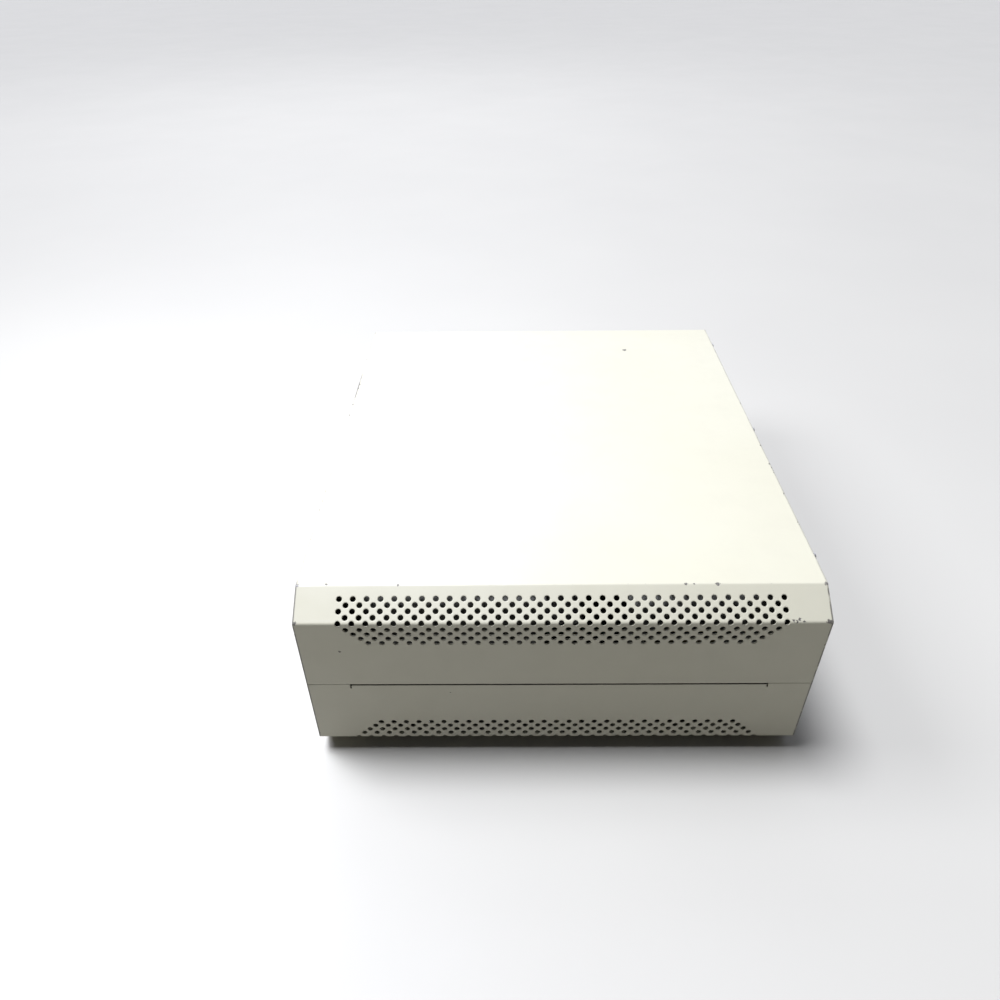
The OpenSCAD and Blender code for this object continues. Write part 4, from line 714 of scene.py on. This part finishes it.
def wiring():
    """Looms of the supply and the front's leads, with their plugs."""
    # supply plug on the board: a housing with a cell for each wire, a latch and two rows of wires
    pitch, columns = 4.2, 12
    cells = [(pitch * (k % columns - (columns - 1) / 2), pitch * (k // columns - 0.5), 0)
             for k in range(len(SUPPLY_COLOURS))]
    rings = ((3, 0.78), (8, 2.05), (13, 3.3))
    cable = loom("supply_loom", BOARD_CABLE, rings, SUPPLY_COLOURS, 0.6, cells, 34)
    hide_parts("power_cables")
    plug = Builder()
    x, y = BOARD_CABLE[-1][:2]
    plug.box((x - 26, y - 5, 28.8), (x + 26, y + 5, 33.4), 0.5)
    for cx, cy, _ in cells:
        plug.box((x + cx - 1.95, y + cy - 1.95, 33.2), (x + cx + 1.95, y + cy + 1.95, 36.6), 0.45)
    plug.box((x - 3.2, y + 4.6, 22.5), (x + 3.2, y + 6.2, 35.5), 0.5)
    plug.piece("supply_plug", "nylon", "socket_plastic")

    plugs = Builder()
    ends = [(0, 0, 5 * k - 7.5) for k in range(len(DRIVE_COLOURS))]
    for name, path, (x, y, z) in DRIVE_LOOMS:
        loom(name, path, ((4, 1.4),), DRIVE_COLOURS, 0.95, ends, 16)
        plugs.box((x + 0.05, y - 4, z - 9.5), (x + 4.2, y + 4, z + 9.5), 0.7)
        for _, _, dz in ends:
            plugs.box((x + 4.0, y - 3.1, z + dz - 2.1), (x + 6.0, y + 3.1, z + dz + 2.1), 0.5)
    plugs.piece("drive_plugs", "nylon", "socket_plastic")

    lead_ends = [(0, 4.4 * k - 11, 0) for k in range(len(LEAD_COLOURS))]
    leads = loom("control_leads", CONTROL_LEADS, ((6, 0.92),), LEAD_COLOURS, 0.45, lead_ends, 22)
    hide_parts("control_cable")
    shells = Builder()
    header_x, header_y = CONTROL_LEADS[-1][:2]
    for k in range(3):
        y = header_y - 8.8 + 8.8 * k
        shells.box((header_x - 2.8, y - 3.9, 24.8), (header_x + 2.8, y + 3.9, 29.7), 0.5)
    shells.piece("control_plugs", "black_plastic", "black_plastic")


# ---------------------------------------------------------------- small parts on the board

BOARD_TOP = 16.8
BOARD_SPAN = ((-54, 184), (-121, 178))
# the board's chips: middle x and y, size along x and y, height, pitch of their pins
CHIPS = ((-20, 110, 30, 30, 3, 1.0), (25, 150, 24, 18, 2, 1.0),
         (-20, 60, 14, 20, 2, 1.27), (165, 160, 10, 18, 2, 1.27))
COILS = tuple((138.5, y) for y in (-88, -72, -56, -40))
COIN_CELL = (-25, 145)
CRYSTALS = ((-44, 96), (-2, 132), (165, 140))
# middle x and y, and count of pins
JUMPERS = ((-50, 20, 8), (-50, 52, 6), (176, 172, 5), (40, 172, 6))
JUMPER_PITCH = 2.54
ON_BOARD = ("processor_socket", "memory_sockets", "card_sockets", "board_connectors", "board_chips",
            "capacitors", "io_ports", "inner_screws")
CELL = 2.6              # side of the squares that the small parts are placed by
LOW_PARTS = 22 * MM     # what starts lower than this stands on the board


def taken_cells():
    """Squares of the board's top that a socket, chip or screw already covers."""
    taken = set()

    def cover(x0, x1, y0, y1, room=1.2):
        for i in range(math.floor((x0 - room) / CELL), math.ceil((x1 + room) / CELL) + 1):
            for j in range(math.floor((y0 - room) / CELL), math.ceil((y1 + room) / CELL) + 1):
                taken.add((i, j))

    for node in ON_BOARD:
        mesh = bmesh.new()
        mesh.from_mesh(NODES[node].data)
        bmesh.ops.remove_doubles(mesh, verts=mesh.verts, dist=1e-6)
        seen = set()
        for start in mesh.verts:
            if start in seen:
                continue
            island, queue = [], [start]
            seen.add(start)
            while queue:
                vert = queue.pop()
                island.append(vert.co)
                for edge in vert.link_edges:
                    other = edge.other_vert(vert)
                    if other not in seen:
                        seen.add(other)
                        queue.append(other)
            if min(co.z for co in island) < LOW_PARTS:
                xs, ys = [co.x / MM for co in island], [co.y / MM for co in island]
                cover(min(xs), max(xs), min(ys), max(ys))
        mesh.free()
    for x, y in COILS:
        cover(x - 5.5, x + 5.5, y - 5.5, y + 5.5, 0.5)
    return taken


def small_parts():
    """Resistors, ceramic capacitors and small chips in the free places of the board."""
    pick = random.Random(41)
    taken = taken_cells()
    bodies = {"ceramic": Builder(), "chip_black": Builder()}
    tips = Builder()
    (x_low, x_high), (y_low, y_high) = BOARD_SPAN
    for i in range(math.ceil(x_low / CELL), math.floor(x_high / CELL)):
        for j in range(math.ceil(y_low / CELL), math.floor(y_high / CELL)):
            crowded = math.sin(0.21 * i + 1.3) + math.sin(0.17 * j) + 0.8 * math.sin(0.11 * (i + 2 * j))
            if (i, j) in taken or pick.random() > 0.16 + 0.13 * crowded:
                continue
            x, y = i * CELL, j * CELL
            block = {(i + a, j + b) for a in (0, 1, 2) for b in (0, 1, 2)}
            if pick.random() < 0.10 and not block & taken:
                taken |= block
                bodies["chip_black"].box((x, y, BOARD_TOP), (x + 4.0, y + 5.0, BOARD_TOP + 1.5), 0.25)
                for k in range(4):
                    low_y = y + 0.4 + 1.2 * k
                    for low_x in (x - 1.0, x + 4.0):
                        tips.box((low_x, low_y, BOARD_TOP), (low_x + 1.0, low_y + 0.45, BOARD_TOP + 0.5))
                continue
            kind = pick.choice(("ceramic", "chip_black", "chip_black"))
            long_x = pick.random() < 0.5
            half_x, half_y = (1.0, 0.62) if long_x else (0.62, 1.0)
            tall = BOARD_TOP + (0.9 if kind == "ceramic" else 0.55)
            bodies[kind].box((x - half_x, y - half_y, BOARD_TOP), (x + half_x, y + half_y, tall), 0.08)
            for side in (-1, 1):
                cx, cy = (x + side * 0.95, y) if long_x else (x, y + side * 0.95)
                tx, ty = (0.22, 0.66) if long_x else (0.66, 0.22)
                tips.box((cx - tx, cy - ty, BOARD_TOP), (cx + tx, cy + ty, tall + 0.04))
    bodies["ceramic"].piece("ceramic_capacitors", "ceramic", "socket_plastic")
    bodies["chip_black"].piece("small_chips", "chip_black", "chip_black")
    tips.piece("part_ends", "steel_pins", "screw_steel", smooth=False)


def chip_pins():
    """Pins along all four sides of the board's chips."""
    pins = Builder()
    for x, y, long_x, long_y, tall, pitch in CHIPS:
        low_z, high_z = BOARD_TOP + 0.02, BOARD_TOP + 0.5 * tall
        half = 0.2 * pitch
        for along, across, flip in ((long_x, long_y, False), (long_y, long_x, True)):
            count = int((along - 2.4) / pitch)
            near, far = across / 2 - 0.1, across / 2 + 1.3
            for k in range(count):
                at = (k - (count - 1) / 2) * pitch
                for low, high in ((-far, -near), (near, far)):
                    if flip:
                        pins.box((x + low, y + at - half, low_z), (x + high, y + at + half, high_z))
                    else:
                        pins.box((x + at - half, y + low, low_z), (x + at + half, y + high, high_z))
    pins.piece("chip_pins", "steel_pins", "screw_steel", smooth=False)


def coils():
    """Ring coils of the processor's supply, with their windings."""
    ring_r, core_r, turns, steps = 3.5, 1.35, 13, 10
    winding_r = core_r + 0.32
    cores, lines = Builder(), []
    for x, y in COILS:
        middle = Vector((x, y, BOARD_TOP + 2.1))
        core = [(ring_r + core_r * math.cos(a), core_r * math.sin(a))
                for a in (2 * math.pi * k / steps for k in range(steps))]
        cores.lathe(Matrix.Translation(middle), core, 28, hollow=True)
        line = []
        for k in range(turns * steps):
            a = 2 * math.pi * k / (turns * steps)
            reach = ring_r + winding_r * math.cos(turns * a)
            height = winding_r * math.sin(turns * a)
            line.append(middle + Vector((reach * math.cos(a), reach * math.sin(a), height)))
        lines.append(line)
    cores.piece("coil_cores", "ferrite", "chip_black")
    wires("coil_windings", lines, ["copper_wire"] * len(lines), 0.36, closed=True)


def board_trimmings():
    """Coin cell, crystals and jumper pins."""
    cell_x, cell_y = COIN_CELL
    under_cell = Matrix.Translation((cell_x, cell_y, BOARD_TOP))
    cell = Builder()
    cell.lathe(under_cell,
               [(10.15, 0.6), (10.15, 2.7), (9.8, 3.35), (8.9, 3.35), (8.8, 3.25), (0.5, 3.25)], 40)
    cell.piece("coin_cell", "steel_pins", "screw_steel")
    holder = Builder()
    holder.lathe(under_cell,
                 [(10.3, 0), (11.6, 0), (11.6, 1.7), (11.2, 2.1), (10.3, 2.1)], 40, hollow=True)
    for side in (-1, 1):
        x = cell_x + side * 11.4
        holder.box((x - 1.4, cell_y - 3, BOARD_TOP), (x + 1.4, cell_y + 3, BOARD_TOP + 3.4), 0.4)
    holder.piece("cell_holder", "black_plastic", "black_plastic")
    cans = Builder()
    for x, y in CRYSTALS:
        cans.box((x - 2.1, y - 5.2, BOARD_TOP), (x + 2.1, y + 5.2, BOARD_TOP + 3.6), 1.2)
    cans.piece("crystals", "steel_pins", "screw_steel")
    pins, strips = Builder(), Builder()
    for x, y, count in JUMPERS:
        along_y = x < 0   # the strips near the front run along Y, the others along X
        reach = JUMPER_PITCH * (count - 1)
        long, short = reach / 2 + 1.2, 1.2
        half_x, half_y = (short, long) if along_y else (long, short)
        strips.box((x - half_x, y - half_y, BOARD_TOP), (x + half_x, y + half_y, BOARD_TOP + 2.4), 0.3)
        for k in range(count):
            at = JUMPER_PITCH * k - reach / 2
            px, py = (x, y + at) if along_y else (x + at, y)
            pins.box((px - 0.32, py - 0.32, BOARD_TOP + 2.3), (px + 0.32, py + 0.32, BOARD_TOP + 8.2), 0.12)
    strips.piece("jumper_strips", "black_plastic", "black_plastic")
    pins.piece("jumper_pins", "gold_pins", "brass_standoff")


LABELS = (("supply_label", (86, -204, 156.03), (158, -146, 156.13)),
          ("chip_label", (16.5, 144.5, 18.82), (33.5, 155.5, 18.88)))


def labels():
    """Blank stickers, as thin sheets with rounded corners."""
    for name, low, high in LABELS:
        sticker = Builder()
        sticker.box(low, high)
        upright = [e for e in sticker.bm.edges if abs(e.verts[0].co.z - e.verts[1].co.z) > 0.01]
        bmesh.ops.bevel(sticker.bm, geom=upright, offset=2.0, segments=4, affect="EDGES")
        sticker.piece(name, "paper", "socket_plastic", smooth=False)


rear_sockets()
wiring()
small_parts()
chip_pins()
coils()
board_trimmings()
labels()

# ---------------------------------------------------------------- floor, light and camera

COOL_WHITE = (0.865, 0.89, 1.0)
FLOOR_HALF = 30.0
WORLD_DARK = 0.07
WORLD_BRIGHT = 1.1
# Viewpoint: angles in degrees, place in metres, focal length and film width in millimetres
CAMERA_PITCH, CAMERA_YAW, CAMERA_ROLL = 37.09, 0.85, -0.85
CAMERA_PLACE = (-0.0369, -0.6208, 0.5463)
CAMERA_LENS, CAMERA_FILM = 27.66, 36.0


def look_along(location, target):
    """The turn that points a light from a location to a target."""
    return (Vector(target) - Vector(location)).to_track_quat("-Z", "Y")


def place_light(light, power, location, target):
    light.energy = power
    light.color = COOL_WHITE
    obj = bpy.data.objects.new(light.name, light)
    obj.location = location
    obj.rotation_mode = "QUATERNION"
    obj.rotation_quaternion = look_along(location, target)
    bpy.context.scene.collection.objects.link(obj)


def area_light(name, location, target, side, power):
    """A square panel that shines from its location to a target."""
    light = bpy.data.lights.new(name, "AREA")
    light.shape = "RECTANGLE"
    light.size = light.size_y = side
    place_light(light, power, location, target)


def sun_light(name, direction, strength, angle):
    """A very large soft source, as wide as an angle in degrees."""
    light = bpy.data.lights.new(name, "SUN")
    light.angle = math.radians(angle)
    place_light(light, strength, direction, (0, 0, 0))


def make_floor():
    """A plain pale floor, slightly warm under the cool lights."""
    mesh = bpy.data.meshes.new("floor")
    corners = [(FLOOR_HALF * a, FLOOR_HALF * b, 0) for a, b in ((-1, -1), (1, -1), (1, 1), (-1, 1))]
    mesh.from_pydata(corners, [], [(0, 1, 2, 3)])
    floor = bpy.data.objects.new("floor", mesh)
    bpy.context.scene.collection.objects.link(floor)
    s = Shader("floor")
    colour = s.mix(s.varied(3, detail=2.0), rgb(0.375, 0.364, 0.325), rgb(0.385, 0.374, 0.333))
    mesh.materials.append(s.finish(colour, s.varied(8, 0.58, 0.62)))


def make_lights():
    """A studio of one wide source overhead, two panels and a bright wall behind the object."""
    world = bpy.data.worlds.new("studio")
    world.use_nodes = True
    tree = world.node_tree
    background = tree.nodes["Background"]
    background.inputs["Color"].default_value = rgb(*COOL_WHITE)
    # the wall behind the object is bright, the side that the camera stands on is dark
    place = tree.nodes.new("ShaderNodeTexCoord")
    split = tree.nodes.new("ShaderNodeSeparateXYZ")
    ramp = tree.nodes.new("ShaderNodeMapRange")
    ramp.interpolation_type = "SMOOTHSTEP"
    limits = {"From Min": -0.1, "From Max": 1.0, "To Min": WORLD_DARK, "To Max": WORLD_BRIGHT}
    for key, value in limits.items():
        ramp.inputs[key].default_value = value
    tree.links.new(place.outputs["Generated"], split.inputs["Vector"])
    tree.links.new(split.outputs["Y"], ramp.inputs["Value"])
    tree.links.new(ramp.outputs["Result"], background.inputs["Strength"])
    bpy.context.scene.world = world
    sun_light("sky", (-0.25, 0.11, 1.0), 5.35, 23)
    area_light("key", (-0.7, 0, 1.0), (-0.15, -0.05, 0.1), 0.5, 14)
    area_light("window", (-0.6, 2.2, 1.8), (-0.6, 1.9, 0), 1.8, 23)


def make_camera():
    """The viewpoint: above the near edge, looking down at the vented face."""
    pitch, yaw, roll = (math.radians(a) for a in (CAMERA_PITCH, CAMERA_YAW, CAMERA_ROLL))
    ahead = Vector((-math.sin(yaw), math.cos(yaw), 0))
    right = Vector((math.cos(yaw), math.sin(yaw), 0))
    forward = ahead * math.cos(pitch) - Vector((0, 0, math.sin(pitch)))
    down = -ahead * math.sin(pitch) - Vector((0, 0, math.cos(pitch)))
    across = right * math.cos(roll) - down * math.sin(roll)
    up = -(right * math.sin(roll) + down * math.cos(roll))
    data = bpy.data.cameras.new("camera")
    data.lens, data.sensor_width = CAMERA_LENS, CAMERA_FILM
    camera = bpy.data.objects.new("camera", data)
    camera.matrix_world = Matrix((across, up, -forward)).transposed().to_4x4()
    camera.location = CAMERA_PLACE
    bpy.context.scene.collection.objects.link(camera)
    bpy.context.scene.camera = camera


make_floor()
make_lights()
make_camera()
bpy.context.scene.view_settings.view_transform = "Standard"
